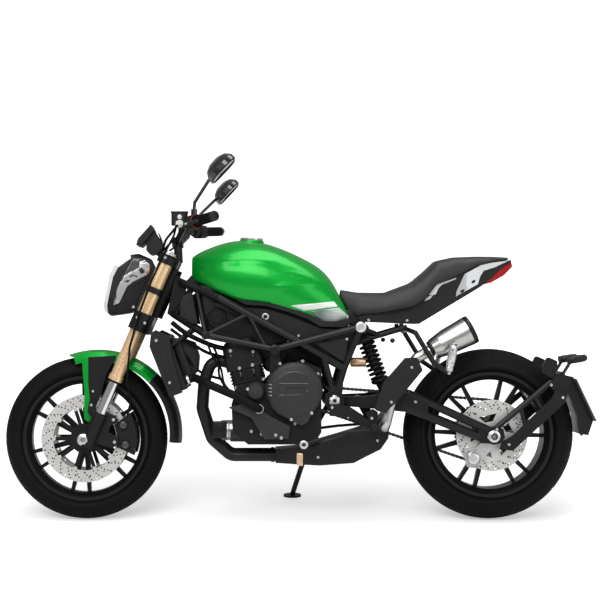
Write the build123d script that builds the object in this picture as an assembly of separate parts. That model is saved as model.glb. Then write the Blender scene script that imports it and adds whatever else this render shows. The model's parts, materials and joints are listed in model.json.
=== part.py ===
"""A naked street motorcycle, leaning on its side stand.

The bike is built upright in its own plane: X runs from the nose to the tail with 0 at the front axle,
Y is 0 in the middle plane and negative on the side of the silencer, Z is 0 on the road.
At the end everything leans over onto the stand and moves so that the origin is the middle of the footprint.
All lengths are millimetres, all angles degrees.
"""

import math
import os

from build123d import *

# Driving dimensions
WHEELBASE = 1490.0
LEAN = 10.0
STEER_LOCK = 27.0
RAKE = 23.5
FRONT_TYRE_RADIUS = 300.0
FRONT_TYRE_HALF_WIDTH = 60.0
REAR_TYRE_RADIUS = 315.0
REAR_TYRE_HALF_WIDTH = 88.0
RIM_LIP_RADIUS = 231.0
RIM_OPENING_RADIUS = 201.0
FRONT_RIM_HALF_WIDTH = 48.0
REAR_RIM_HALF_WIDTH = 73.0
TYRE_WALL = 11.0
CROWN_BANDS = 8
SPOKE_PAIRS = 6
SPOKE_SPREAD = 9.0
HUB_RADIUS = 34.0
SPOKE_ROOT_RADIUS = 50.0
FRONT_HUB_HALF = 72.0
REAR_HUB_HALF = 108.0
BUTTONS = 10

FORK_HALF_SPACING = 102.0
FORK_BEHIND_AXLE = 18.0
STEERING_BEHIND_FORK = 30.0
FORK_TUBE_RADIUS = 27.0
FORK_LOWER_RADIUS = 24.0
SLIDER_RADIUS = 19.0

FRONT_DISC_RADIUS = 160.0
FRONT_DISC_BAND = 44.0
REAR_DISC_RADIUS = 130.0
REAR_DISC_BAND = 40.0
DISC_THICKNESS = 5.0
FRONT_DISC_Y = 66.0
REAR_DISC_Y = 101.0

MAIN_TUBE = 14.0
LOWER_TUBE = 12.5
STRUT_TUBE = 9.0
PIPE_RADIUS = 21.0

CHAIN_PITCH = 15.875
CHAIN_Y = 102.0
REAR_TEETH = 48
FRONT_TEETH = 16
CHAIN_LINKS = 114
CHAIN_HALF_HEIGHT = 7.0
CHAIN_HALF_WIDTH = 7.5

FIT = 0.3
AXLE_FIT = 0.25
AXLE_BORE = 8.0
AXLE_RADIUS = 12.5

FRONT_AXLE = (0.0, FRONT_TYRE_RADIUS)
REAR_AXLE = (WHEELBASE, REAR_TYRE_RADIUS)
PIVOT = (913.0, 444.0)

NODES = {}


# Small builders

def slab(outline, y_low, y_high):
    """A plate whose side outline is a list of (x, z) corners."""
    face = Plane.XZ.offset(-y_high) * Polygon(*outline, align=None)
    return extrude(face, y_high - y_low, dir=(0, -1, 0))


def soft_slab(outline, y_low, y_high, radius):
    """A slab whose side outline has rounded corners."""
    corners = Polygon(*outline, align=None)
    rounded = fillet(corners.vertices(), radius)
    face = Plane.XZ.offset(-y_high) * rounded
    return extrude(face, y_high - y_low, dir=(0, -1, 0))


def turned(points, x, z):
    """A round piece about an axis square to the middle plane, from its (radius, y) half outline."""
    face = Plane.XY * Polygon(*points, align=None)
    return Pos(x, 0, z) * revolve(face, axis=Axis.Y)


def rod(start, end, radius):
    """A round bar between two points."""
    path = Vector(*end) - Vector(*start)
    base = Plane(origin=start, z_dir=path)
    return extrude(base * Circle(radius), path.length)


def bent_tube(points, radius, bend):
    """A round tube along straight runs joined by arcs of one radius."""
    if len(points) == 2:
        return rod(points[0], points[1], radius)
    path = FilletPolyline(*points, radius=bend)
    start = Plane(origin=path @ 0, z_dir=path % 0)
    return sweep(start * Circle(radius), path=path)


def fused(pieces):
    """Several overlapping pieces joined in one step."""
    first, *rest = pieces
    return first + rest if rest else first


def bars(points, radius):
    """Round bars from each point to the next, with ball joints where they meet."""
    runs = [rod(start, end, radius) for start, end in zip(points, points[1:])]
    knuckles = [Pos(*joint) * Sphere(radius) for joint in points[1:-1]]
    return fused(runs + knuckles)


def disc_y(x, z, radius, y_low, y_high):
    """A round plate square to Y."""
    return rod((x, y_low, z), (x, y_high, z), radius)


def across(shape):
    """The same piece on the other side of the middle plane."""
    return mirror(shape, about=Plane.XZ)


def both(shape):
    """A piece and its twin on the other side."""
    return shape + across(shape)


def polar(radius, angle):
    """The (x, z) point at a radius and an angle in degrees."""
    return (radius * math.cos(math.radians(angle)), radius * math.sin(math.radians(angle)))


def together(pieces):
    """Several solids kept as one part."""
    solids = []
    for piece in pieces:
        solids.extend(piece.solids())
    return Compound(solids)


def on_side(points, y):
    """(x, z) points carried to one y."""
    return [(x, y, z) for x, z in points]


def run_point(run, x):
    """The point of a tube run at one x."""
    for start, end in zip(run, run[1:]):
        if min(start[0], end[0]) <= x <= max(start[0], end[0]):
            share = (x - start[0]) / (end[0] - start[0])
            return tuple(a + share * (b - a) for a, b in zip(start, end))
    raise ValueError("the run doesn't reach that x")


# The fork's own directions: along runs up the legs from the axle, back is square to them.
SIN_RAKE = math.sin(math.radians(RAKE))
COS_RAKE = math.cos(math.radians(RAKE))
STEERING_BACK = FORK_BEHIND_AXLE + STEERING_BEHIND_FORK


def fork_point(along, back, y=0.0):
    """A point given by its distance up the fork from the axle and its distance behind the axle line."""
    x = FRONT_AXLE[0] + along * SIN_RAKE + back * COS_RAKE
    z = FRONT_AXLE[1] + along * COS_RAKE - back * SIN_RAKE
    return (x, y, z)


def leg_point(along, y=-FORK_HALF_SPACING):
    return fork_point(along, FORK_BEHIND_AXLE, y)


def fork_plane(along, back=0.0, y=0.0):
    """A plane square to the fork legs, with its own X pointing rearwards."""
    return Plane(origin=fork_point(along, back, y), x_dir=(COS_RAKE, 0, -SIN_RAKE), z_dir=(SIN_RAKE, 0, COS_RAKE))


# Wheels

def arc_points(centre, radius, start, end, count):
    """Points along an arc, angles in degrees."""
    step = (end - start) / count
    angles = [math.radians(start + k * step) for k in range(count + 1)]
    return [(centre[0] + radius * math.cos(a), centre[1] + radius * math.sin(a)) for a in angles]


def tyre(axle, radius, half_width, rim_half_width):
    """A hollow tyre: a round crown in flat bands, side walls and beads, open towards the rim."""
    shoulder_y = half_width * 0.90
    drop = half_width * 0.62
    crown = (shoulder_y**2 + drop**2) / (2 * drop)
    centre = (0.0, radius - crown)
    edge = math.degrees(math.asin(shoulder_y / crown))
    bead_y = rim_half_width - 6.0
    bead = RIM_LIP_RADIUS - 9.0
    top = RIM_LIP_RADIUS + 2.0
    bulge = (half_width, (radius - drop + top) / 2 + 4)
    outer = arc_points(centre, crown, 90 - edge, 90 + edge, CROWN_BANDS)
    wall = TYRE_WALL
    inner = arc_points(centre, crown - wall, 90 + edge - 4, 90 - edge + 4, 4)
    right = [(bead_y - wall, bead), (bead_y, bead), (bead_y, top), bulge]
    left = [(-y, r) for y, r in reversed(right)]
    profile = Polygon(*(right + outer + left + inner), align=None)
    return Pos(axle[0], 0, axle[1]) * revolve(Plane.YZ * profile, axis=Axis.Y)


def rim(axle, half_width, hub_half_width, phase):
    """A cast wheel: a barrel with two lips, twin spokes in pairs and a hub bored for the axle."""
    lip = RIM_LIP_RADIUS
    well = RIM_OPENING_RADIUS + 5.0
    w = half_width
    barrel = Polygon(
        (-w, lip), (-w, lip - 12), (-w + 14, well + 2), (-w + 26, RIM_OPENING_RADIUS),
        (w - 26, RIM_OPENING_RADIUS), (w - 14, well + 2), (w, lip - 12), (w, lip),
        (w - 4.5, lip), (w - 5.5, lip - 10), (w - 24, lip - 17), (w - 30, well),
        (-w + 30, well), (-w + 24, lip - 17), (-w + 5.5, lip - 10), (-w + 4.5, lip),
        align=None,
    )
    pieces = [revolve(Plane.YZ * barrel, axis=Axis.Y)]
    pieces.append(Rot(90, 0, 0) * Cylinder(HUB_RADIUS, 2 * hub_half_width))
    pieces.append(Rot(90, 0, 0) * Cylinder(SPOKE_ROOT_RADIUS, 44))
    outer = RIM_OPENING_RADIUS + 3.0
    for pair in range(SPOKE_PAIRS):
        for side in (-1, 1):
            angle = phase + pair * 360.0 / SPOKE_PAIRS
            start = polar(30.0, angle + side * 8.0)
            end = polar(outer, angle + side * SPOKE_SPREAD)
            span = math.dist(start, end)
            square = ((start[1] - end[1]) / span, (end[0] - start[0]) / span)
            corners = [
                (start[0] - square[0] * 11, start[1] - square[1] * 11),
                (start[0] + square[0] * 11, start[1] + square[1] * 11),
                (end[0] + square[0] * 6.5, end[1] + square[1] * 6.5),
                (end[0] - square[0] * 6.5, end[1] - square[1] * 6.5),
            ]
            pieces.append(slab(corners, -13.0, 13.0))
    return Pos(axle[0], 0, axle[1]) * fused(pieces)


def bored(shape, axle):
    """A wheel part with the hole for its axle."""
    return shape - disc_y(axle[0], axle[1], AXLE_RADIUS + AXLE_FIT, -300, 300)


def ring_plate(axle, sketch, y):
    """A flat sketch in the wheel's own (x, z) made into a plate centred on y."""
    face = Plane.XZ.offset(-(y + DISC_THICKNESS / 2)) * sketch
    return Pos(axle[0], 0, axle[1]) * extrude(face, DISC_THICKNESS, dir=(0, -1, 0))


def drilled_ring(radius, band, rows, spirals):
    """The flat sketch of a rotor ring with its drilled holes."""
    holes = []
    for spiral in range(spirals):
        for row in range(rows):
            reach = radius - band + 9 + row * (band - 17) / (rows - 1)
            angle = (spiral + row * 0.36) * 360.0 / spirals
            holes.append(Pos(*polar(reach, angle)) * Circle(3.4))
    return Circle(radius) - Circle(radius - band) - holes


def front_wheel():
    """The front tyre, its wheel with the rotor carriers, and the two rotors on their buttons."""
    NODES["front_tyre"] = tyre(FRONT_AXLE, FRONT_TYRE_RADIUS, FRONT_TYRE_HALF_WIDTH, FRONT_RIM_HALF_WIDTH)
    wheel = rim(FRONT_AXLE, FRONT_RIM_HALF_WIDTH, FRONT_HUB_HALF, 24.0)
    button_at = FRONT_DISC_RADIUS - FRONT_DISC_BAND - 2.0
    star = [Circle(HUB_RADIUS + 20)]
    for k in range(BUTTONS):
        star.append(Rot(0, 0, k * 360 / BUTTONS) * Pos(button_at / 2, 0) * Rectangle(button_at, 13))
    star = fused(star) - [Pos(*polar(button_at, k * 360 / BUTTONS)) * Circle(7.3) for k in range(BUTTONS)]
    discs = []
    for side in (-1, 1):
        wheel = wheel + ring_plate(FRONT_AXLE, star, side * FRONT_DISC_Y)
        ring = ring_plate(FRONT_AXLE, drilled_ring(FRONT_DISC_RADIUS, FRONT_DISC_BAND, 3, 16), side * FRONT_DISC_Y)
        buttons = []
        for k in range(BUTTONS):
            x, z = polar(button_at, k * 360 / BUTTONS)
            buttons.append(disc_y(x, FRONT_AXLE[1] + z, 7.0, side * FRONT_DISC_Y - 4, side * FRONT_DISC_Y + 4))
        discs.append(fused([ring] + buttons))
    NODES["front_rim"] = bored(wheel, FRONT_AXLE)
    NODES["front_discs"] = together(discs)


def chain_geometry():
    """Where the chain's pins lie, all the way round both sprockets."""
    rear_radius = CHAIN_PITCH / (2 * math.sin(math.pi / REAR_TEETH))
    front_radius = CHAIN_PITCH / (2 * math.sin(math.pi / FRONT_TEETH))
    drop = PIVOT[1] + 1.0

    def links(distance):
        slope = math.asin((rear_radius - front_radius) / distance)
        rear = (math.pi + 2 * slope) / (2 * math.pi / REAR_TEETH)
        front = (math.pi - 2 * slope) / (2 * math.pi / FRONT_TEETH)
        return rear + front + 2 * distance * math.cos(slope) / CHAIN_PITCH

    low, high = 400.0, 900.0
    for _ in range(60):
        middle = (low + high) / 2
        if links(middle) < CHAIN_LINKS:
            low = middle
        else:
            high = middle
    distance = (low + high) / 2
    rise = drop - REAR_AXLE[1]
    front = (REAR_AXLE[0] - math.sqrt(distance**2 - rise**2), drop)
    slope = math.asin((rear_radius - front_radius) / distance)
    line = math.atan2(front[1] - REAR_AXLE[1], front[0] - REAR_AXLE[0])
    upper = line - math.pi / 2 + slope
    pins = []
    rear_step = 2 * math.pi / REAR_TEETH
    front_step = 2 * math.pi / FRONT_TEETH
    rear_links = (math.pi + 2 * slope) / rear_step
    front_links = (math.pi - 2 * slope) / front_step
    run_links = distance * math.cos(slope) / CHAIN_PITCH
    for k in range(CHAIN_LINKS):
        if k <= rear_links:
            angle = upper + 0.0 - k * rear_step
            pins.append((REAR_AXLE[0] + rear_radius * math.cos(angle), REAR_AXLE[1] + rear_radius * math.sin(angle)))
            continue
        k2 = k - rear_links
        low_angle = upper - rear_links * rear_step
        leave = (REAR_AXLE[0] + rear_radius * math.cos(low_angle), REAR_AXLE[1] + rear_radius * math.sin(low_angle))
        meet = (front[0] + front_radius * math.cos(low_angle), front[1] + front_radius * math.sin(low_angle))
        if k2 <= run_links:
            t = k2 / run_links
            pins.append((leave[0] + t * (meet[0] - leave[0]), leave[1] + t * (meet[1] - leave[1])))
            continue
        k3 = k2 - run_links
        if k3 <= front_links:
            angle = low_angle - k3 * front_step
            pins.append((front[0] + front_radius * math.cos(angle), front[1] + front_radius * math.sin(angle)))
            continue
        k4 = (k3 - front_links) / run_links
        start = (front[0] + front_radius * math.cos(upper), front[1] + front_radius * math.sin(upper))
        end = (REAR_AXLE[0] + rear_radius * math.cos(upper), REAR_AXLE[1] + rear_radius * math.sin(upper))
        pins.append((start[0] + k4 * (end[0] - start[0]), start[1] + k4 * (end[1] - start[1])))
    return pins


def rear_sprocket(reach):
    """The rear sprocket: teeth up to the chain's inner edge, five round windows and a hole for the hub."""
    corners = []
    for k in range(REAR_TEETH):
        for turn, radius in ((0.0, reach - 5.0), (0.38, reach), (0.62, reach)):
            corners.append(polar(radius, (k + turn) * 360 / REAR_TEETH))
    windows = [Pos(*polar(78.0, 72 * k + 20)) * Circle(23) for k in range(5)]
    plate = Polygon(*corners, align=None) - Circle(HUB_RADIUS + FIT) - windows
    face = Plane.XZ.offset(-(CHAIN_Y + 3.5)) * plate
    return Pos(REAR_AXLE[0], 0, REAR_AXLE[1]) * extrude(face, 7.0, dir=(0, -1, 0))


def chain():
    """The chain as one closed band, waisted between its pins."""
    pins = chain_geometry()
    outer, inner = [], []
    count = len(pins)
    for k, pin in enumerate(pins):
        before, after = pins[k - 1], pins[(k + 1) % count]
        span = math.dist(before, after)
        nx, nz = -(after[1] - before[1]) / span, (after[0] - before[0]) / span
        middle = ((pin[0] + after[0]) / 2, (pin[1] + after[1]) / 2)
        for point, half in ((pin, CHAIN_HALF_HEIGHT), (middle, CHAIN_HALF_HEIGHT - 2.2)):
            outer.append((point[0] + nx * half, point[1] + nz * half))
            inner.append((point[0] - nx * half, point[1] - nz * half))
    low, high = CHAIN_Y - CHAIN_HALF_WIDTH, CHAIN_Y + CHAIN_HALF_WIDTH
    return slab(outer, low, high) - slab(inner, low - 1, high + 1)


def rear_wheel():
    NODES["rear_tyre"] = tyre(REAR_AXLE, REAR_TYRE_RADIUS, REAR_TYRE_HALF_WIDTH, REAR_RIM_HALF_WIDTH)
    NODES["rear_rim"] = bored(rim(REAR_AXLE, REAR_RIM_HALF_WIDTH, REAR_HUB_HALF, 7.0), REAR_AXLE)
    inner = REAR_DISC_RADIUS - REAR_DISC_BAND
    windows = []
    for k in range(5):
        middle = 72 * k + 30
        corners = [polar(52, middle - 16), polar(inner - 8, middle - 24), polar(inner - 8, middle + 24), polar(52, middle + 16)]
        windows.append(Polygon(*corners, align=None))
    carrier = Circle(inner + 2) - Circle(HUB_RADIUS + FIT) - windows
    NODES["rear_disc"] = ring_plate(
        REAR_AXLE, carrier + drilled_ring(REAR_DISC_RADIUS, REAR_DISC_BAND, 3, 14), -REAR_DISC_Y
    )
    pitch_radius = CHAIN_PITCH / (2 * math.sin(math.pi / REAR_TEETH))
    NODES["rear_sprocket"] = rear_sprocket(pitch_radius - CHAIN_HALF_HEIGHT - 1.0)


# The steered front end

CALIPER_LUGS = [(20, 312), (48, 392), (72, 404), (118, 384), (124, 362), (96, 350), (90, 326), (126, 306), (124, 280), (104, 268),
                (52, 282)]
LUG_INNER = 85.3


def fork():
    """Upside-down fork: gold outer tubes, bright sliders and the cast feet that hold axle and calipers."""
    gold, chrome, feet = [], [], []
    for side in (-1, 1):
        y = side * FORK_HALF_SPACING
        gold.append(fused([
            rod(leg_point(243, y), leg_point(742, y), FORK_LOWER_RADIUS),
            rod(leg_point(243, y), leg_point(262, y), FORK_TUBE_RADIUS),
            rod(leg_point(470, y), leg_point(742, y), FORK_TUBE_RADIUS),
            rod(leg_point(742, y), leg_point(748, y), FORK_TUBE_RADIUS - 7),
        ]))
        chrome.append(rod(leg_point(113.3, y), leg_point(242.7, y), SLIDER_RADIUS))
        y_low, y_high = sorted((side * (BRACKET_OUTER + FIT), side * (BRACKET_OUTER + 12)))
        foot = fused([
            rod(leg_point(-22, y), leg_point(113, y), 25.0),
            disc_y(0, FRONT_AXLE[1], 30.0, y - 16, y + 16),
            slab(CALIPER_LUGS, *sorted((side * LUG_INNER, side * (LUG_INNER + 12)))),
            slab([(58, 388), (46, 404), (34, 440), (18, 440), (12, 398), (34, 370), (50, 366)], y_low, y_high),
        ])
        feet.append(foot - disc_y(0, FRONT_AXLE[1], AXLE_RADIUS + FIT, y - 60, y + 60))
    NODES["fork_tubes"] = together(gold)
    NODES["fork_sliders"] = together(chrome)
    NODES["fork_feet"] = together(feet) - NODES["fork_sliders"]

    half = FORK_HALF_SPACING + 20
    axle = disc_y(0, FRONT_AXLE[1], AXLE_RADIUS, -half, half)
    NODES["front_axle"] = axle - disc_y(0, FRONT_AXLE[1], AXLE_BORE, -half - 5, half + 5)


def clamps():
    """The upper and lower triple clamps with the stem between them."""
    pieces = []
    for low, high in ((442, 512), (706, 736)):
        plane = fork_plane(low)
        depth = high - low
        bridge = plane * Pos(FORK_BEHIND_AXLE + 14, 0) * Rectangle(56, 2 * FORK_HALF_SPACING - 10)
        ears = plane * Pos(FORK_BEHIND_AXLE, FORK_HALF_SPACING) * Circle(FORK_TUBE_RADIUS + 8)
        pieces += [extrude(bridge, depth), extrude(ears, depth), across(extrude(ears, depth))]
    pieces.append(rod(fork_point(500, STEERING_BACK), fork_point(740, STEERING_BACK), STEM_RADIUS))
    holes = []
    for y in (-FORK_HALF_SPACING, FORK_HALF_SPACING):
        holes.append(rod(leg_point(400, y), leg_point(800, y), FORK_TUBE_RADIUS + FIT))
    NODES["triple_clamps"] = fused(pieces) - holes


BAR_CLAMP = (338.0, 1024.0)
BAR_END = (480.0, 1092.0)
BAR_HALF = 395.0
BAR_RADIUS = 11.0
GRIP_LENGTH = 125.0
SWITCH_AT = GRIP_LENGTH + 25.3


def bar_points():
    """The handlebar's bends from one end to the other."""
    x0, z0 = BAR_CLAMP
    x1, z1 = BAR_END
    half = [(x0, 60.0, z0), (x0 + 34, 190.0, z0 + 52), (x1, BAR_HALF, z1)]
    return [(x, -y, z) for x, y, z in reversed(half)] + half


def bar_side(side):
    """A bar end and the way inwards along that side of the bar."""
    points = bar_points()
    outer = Vector(points[-1 if side > 0 else 0])
    inner = Vector(points[-2 if side > 0 else 1])
    return outer, (inner - outer).normalized()


def handlebar():
    """The bent bar on its two risers, the grips, and the switches, levers and reservoirs."""
    top = fork_point(736, STEERING_BACK)
    pieces = [bent_tube(bar_points(), BAR_RADIUS, 55.0)]
    for side in (-1, 1):
        pieces.append(rod((top[0] + 4, side * 32, top[2] - 6), (BAR_CLAMP[0], side * 32, BAR_CLAMP[1]), 14.0))
        pieces.append(Pos(BAR_CLAMP[0], side * 32, BAR_CLAMP[1]) * Box(38, 26, 36))
    above_clamp = fork_plane(736) * Box(600, 900, 600, align=(Align.CENTER, Align.CENTER, Align.MIN))
    stem_end = rod(fork_point(700, STEERING_BACK), fork_point(740, STEERING_BACK), STEM_RADIUS + FIT)
    NODES["handlebar"] = (fused(pieces) & above_clamp) - stem_end

    grips, switches = [], []
    for side in (-1, 1):
        outer, way = bar_side(side)
        ribs = [rod(tuple(outer + way * (8 + 13 * k)), tuple(outer + way * (12 + 13 * k)), 18.4) for k in range(9)]
        grip = fused([rod(tuple(outer - way * 14), tuple(outer + way * GRIP_LENGTH), 17.0)] + ribs)
        flange = rod(tuple(outer + way * GRIP_LENGTH), tuple(outer + way * (GRIP_LENGTH + 4)), 24.0)
        hole = rod(tuple(outer - way * 1), tuple(outer + way * (GRIP_LENGTH + 60)), BAR_RADIUS + FIT)
        grips.append(grip + flange - hole)
        box_at = outer + way * SWITCH_AT
        frame = Plane(origin=tuple(box_at), x_dir=(1, 0, 0), z_dir=tuple(way))
        housing = extrude(frame * RectangleRounded(44, 50, 14), 21, both=True)
        tank_at = box_at + way * 42 + Vector(-34, 0, 16)
        reservoir = Pos(*tank_at) * extrude(RectangleRounded(58, 44, 12), 22, both=True)
        lid = Pos(*(tank_at + Vector(0, 0, 22))) * extrude(RectangleRounded(62, 48, 12), 5)
        mount = rod(tuple(box_at + way * 34), tuple(tank_at), 12.0)
        lever_start = box_at + way * 30 + Vector(-26, 0, -6)
        lever_end = outer + way * 4 + Vector(-52, 0, -14)
        lever = bars([tuple(box_at + way * 34), tuple(lever_start), tuple(lever_end)], 6.5)
        perch = rod(tuple(box_at + way * 12), tuple(box_at + way * 50), 18.0)
        button = Pos(*(box_at + Vector(18, 0, -12))) * Box(22, 16, 14)
        group = fused([housing, perch, reservoir, lid, mount, lever, button])
        hole = rod(tuple(outer), tuple(outer + way * 320), BAR_RADIUS + FIT)
        switches.append(group - hole)
    NODES["grips"] = together(grips)
    NODES["bar_controls"] = together(switches)


MIRROR_HEAD = (509.0, 1255.0)
MIRROR_Y = 430.0


def mirrors():
    """Two mirrors, each a domed shell on a bent stem that stands in the switch housing."""
    found = []
    for side in (-1, 1):
        outer, way = bar_side(side)
        foot = outer + way * SWITCH_AT + Vector(0, 0, 20)
        head = Vector(MIRROR_HEAD[0], side * MIRROR_Y, MIRROR_HEAD[1])
        back = Plane(origin=tuple(head), x_dir=(0, 1, 0), z_dir=(-0.729, 0, 0.684))
        shell = loft([
            back.offset(-12) * RectangleRounded(160, 118, 46),
            back.offset(4) * RectangleRounded(158, 116, 46),
            back.offset(22) * RectangleRounded(128, 90, 38),
            back.offset(32) * RectangleRounded(76, 48, 20),
        ], ruled=True)
        base = head - Vector(34, side * 30, 26)
        found.append(fused([
            rod(tuple(foot), tuple(foot + Vector(0, 0, 26)), 11.0),
            bars([tuple(foot + Vector(0, 0, 20)), tuple(foot + Vector(2, 0, 50)), tuple(base)], 6.0),
            rod(tuple(base), tuple(head), 9.0),
            shell,
        ]) - NODES["bar_controls"])
    NODES["mirrors"] = together(found)


HEADLIGHT_OUTLINE = [(74, 772), (70, 787), (93, 900), (111, 937), (160, 975), (198, 981), (239, 963), (252, 933),
                     (179, 772), (160, 762), (93, 752)]
LENS_OUTLINE = [(50, 740), (86, 745), (84, 790), (106, 893), (124, 928), (170, 962), (165, 1000), (50, 1000)]
TRIM_OUTLINE = [(110, 791), (138, 791), (153, 843), (215, 884), (240, 912), (243, 935), (230, 953), (208, 948),
                (205, 932), (143, 894), (122, 858)]


def headlight():
    """The lamp: a tapering shell, its clear front, and a raised side trim."""
    plane = Plane(origin=(70, 0, 887), x_dir=(0, 1, 0), z_dir=(0.966, 0, -0.259))

    def taper(extra):
        return loft([
            plane.offset(-20) * RectangleRounded(180 + extra, 268, 84),
            plane.offset(70) * RectangleRounded(200 + extra, 262, 80),
            plane.offset(215) * RectangleRounded(118 + extra, 256, 52),
        ], ruled=True)

    body = slab(HEADLIGHT_OUTLINE, -120, 120) & taper(0)
    trim = slab(TRIM_OUTLINE, -120, 120) & taper(6)
    lens = slab(LENS_OUTLINE, -130, 130)
    NODES["headlight"] = (body - lens) + trim
    NODES["headlight_lens"] = body & lens

    pieces = []
    for y in (-FORK_HALF_SPACING, FORK_HALF_SPACING):
        pieces.append(rod(leg_point(590, y), leg_point(612, y), FORK_TUBE_RADIUS + 6))
    arm = slab([(196, 842), (188, 876), (236, 884), (256, 858), (244, 842)], -75, -62)
    bracket = fused(pieces[:1] + [arm])
    hole = rod(leg_point(560, -FORK_HALF_SPACING), leg_point(640, -FORK_HALF_SPACING), FORK_TUBE_RADIUS + FIT)
    bracket = bracket - hole - NODES["headlight"]
    NODES["headlight_bracket"] = together([bracket, across(bracket)])


def dash():
    """The instrument pod with its visor, on two stays from the upper clamp."""
    body = slab([(228, 1040), (256, 1061), (287, 1009), (269, 983), (238, 978), (225, 993)], -65, 65)
    visor = slab([(189, 1012), (196, 1035), (243, 1087), (254, 1066), (226, 1030), (204, 1008)], -80, 80)
    stay = rod((258, -30, 992), (294, -30, 958), 9.0)
    NODES["instrument"] = fused([body, visor, stay, across(stay)]) - NODES["triple_clamps"]


FENDER_CENTRE = (43.7, 316.7)
FENDER_RADIUS = 310.3
FENDER_WALL = 3.0
FENDER_HALF = 68.5
FENDER_SKIRT = 268.0
BRACKET_INNER = 73.7
BRACKET_OUTER = 76.7


def fender_shell(first, last):
    """A stretch of the wheel guard, between two angles about its own centre."""
    inner = FENDER_HALF - FENDER_WALL
    top = FENDER_RADIUS
    profile = [
        (-FENDER_HALF, FENDER_SKIRT), (-FENDER_HALF, top - 26), (-FENDER_HALF + 16, top - 9), (-24, top),
        (24, top), (FENDER_HALF - 16, top - 9), (FENDER_HALF, top - 26), (FENDER_HALF, FENDER_SKIRT),
        (inner, FENDER_SKIRT), (inner, top - 27), (FENDER_HALF - 18, top - 12), (23, top - FENDER_WALL),
        (-23, top - FENDER_WALL), (18 - FENDER_HALF, top - 12), (-inner, top - 27), (-inner, FENDER_SKIRT),
    ]
    section = Plane.YZ * Polygon(*profile, align=None)
    guard = revolve(section, axis=Axis.Y, revolution_arc=last - first)
    return Pos(FENDER_CENTRE[0], 0, FENDER_CENTRE[1]) * Rot(0, 90 - last, 0) * guard


def front_fender():
    """The painted guard with its side strips, the black flap behind it and the black side brackets."""
    strip = [(-10, 590), (13, 600), (13, 505), (20, 428), (36, 410), (30, 376), (14, 362), (0, 372), (-3, 400), (0, 470)]
    strip_root = [(-10, 590), (13, 600), (13, 505), (14, 487), (-2, 487)]
    panel = [(13, 600), (118, 606), (80, 537), (59, 462), (36, 410), (20, 428), (13, 505)]
    panel_root = [(13, 600), (118, 606), (80, 537), (66, 490), (14.3, 490), (13, 505)]
    side_strip = slab(strip, -BRACKET_OUTER, -BRACKET_INNER) + slab(strip_root, -BRACKET_OUTER, -FENDER_HALF + 2)
    plate = slab(panel, -BRACKET_OUTER, -BRACKET_INNER) + slab(panel_root, -BRACKET_OUTER, -FENDER_HALF - FIT)
    tip = slab([(-90, 560), (-30, 560), (-40, 598), (-90, 612)], -200, 200)
    NODES["front_fender"] = fused([fender_shell(45.0, 110.0) - tip, side_strip, across(side_strip)])
    flap = fender_shell(-6.4, 44.9)
    NODES["fender_brackets"] = together([flap, plate, across(plate)])


CALIPER_INNER = 120.0
CALIPER_OUTER = 192.0


def front_calipers():
    """A pair of calipers that straddle the rotors behind the fork, with their cylinders on the outside."""
    first, last = -18.0, 30.0
    corners = arc_points((0, 0), CALIPER_OUTER, first, last, 8)
    corners += arc_points((0, 0), CALIPER_INNER, last - 5, first + 5, 6)
    block = Polygon(*corners, align=None)
    found = []
    for side in (-1, 1):
        y_low, y_high = side * FRONT_DISC_Y - 19, side * FRONT_DISC_Y + 19
        face = Plane.XZ.offset(-y_high) * block
        body = Pos(0, 0, FRONT_AXLE[1]) * extrude(face, y_high - y_low, dir=(0, -1, 0))
        end = side * (FRONT_DISC_Y + 27)
        for angle in (-8.0, 20.0):
            x, z = polar(152, angle)
            low, high = sorted((side * FRONT_DISC_Y, end))
            body = body + disc_y(x, FRONT_AXLE[1] + z, 17, low, high)
        found.append(body - disc_y(0, FRONT_AXLE[1], FRONT_DISC_RADIUS + 5, side * FRONT_DISC_Y - 7,
                                   side * FRONT_DISC_Y + 7))
    NODES["front_calipers"] = together(found) - NODES["fork_feet"]


def front_hose():
    """The front brake's hose, from the lever's reservoir down the outside of the fork to the caliper."""
    route = [(346, -225, 1076), (336, -222, 1036), (300, -190, 975), (252, -158, 880), (208, -148, 765),
             (172, -146, 640), (160, -128, 520), (172, -104, 440), (156, -80, 380)]
    hose = bent_tube(route, 4.0, 26.0)
    NODES["front_brake_hose"] = hose - NODES["bar_controls"] - NODES["front_calipers"]


# The frame

MAIN_RUN = [(350, 877, -40), (500, 813, -135), (795, 650, -158), (947, 562, -142), (925, 488, -135)]
LOWER_RUN = [(321, 759, -40), (447, 681, -150), (697, 629, -165)]
RAIL_RUN = [(697, 629, -165), (721, 636, -165), (1007, 710, -158)]
REAR_RUN = [(1007, 710, -158), (948, 562, -142)]
HEAD_HALF = 32.0
STEM_RADIUS = 15.0
SHOCK_TOP = (1020.0, 704.0)
SHOCK_FOOT = (1118.0, 436.0)
PIVOT_SHAFT = 12.0


def points_of(run):
    """A run written as (x, z, y) turned into (x, y, z) points."""
    return [(x, y, z) for x, z, y in run]


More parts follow.
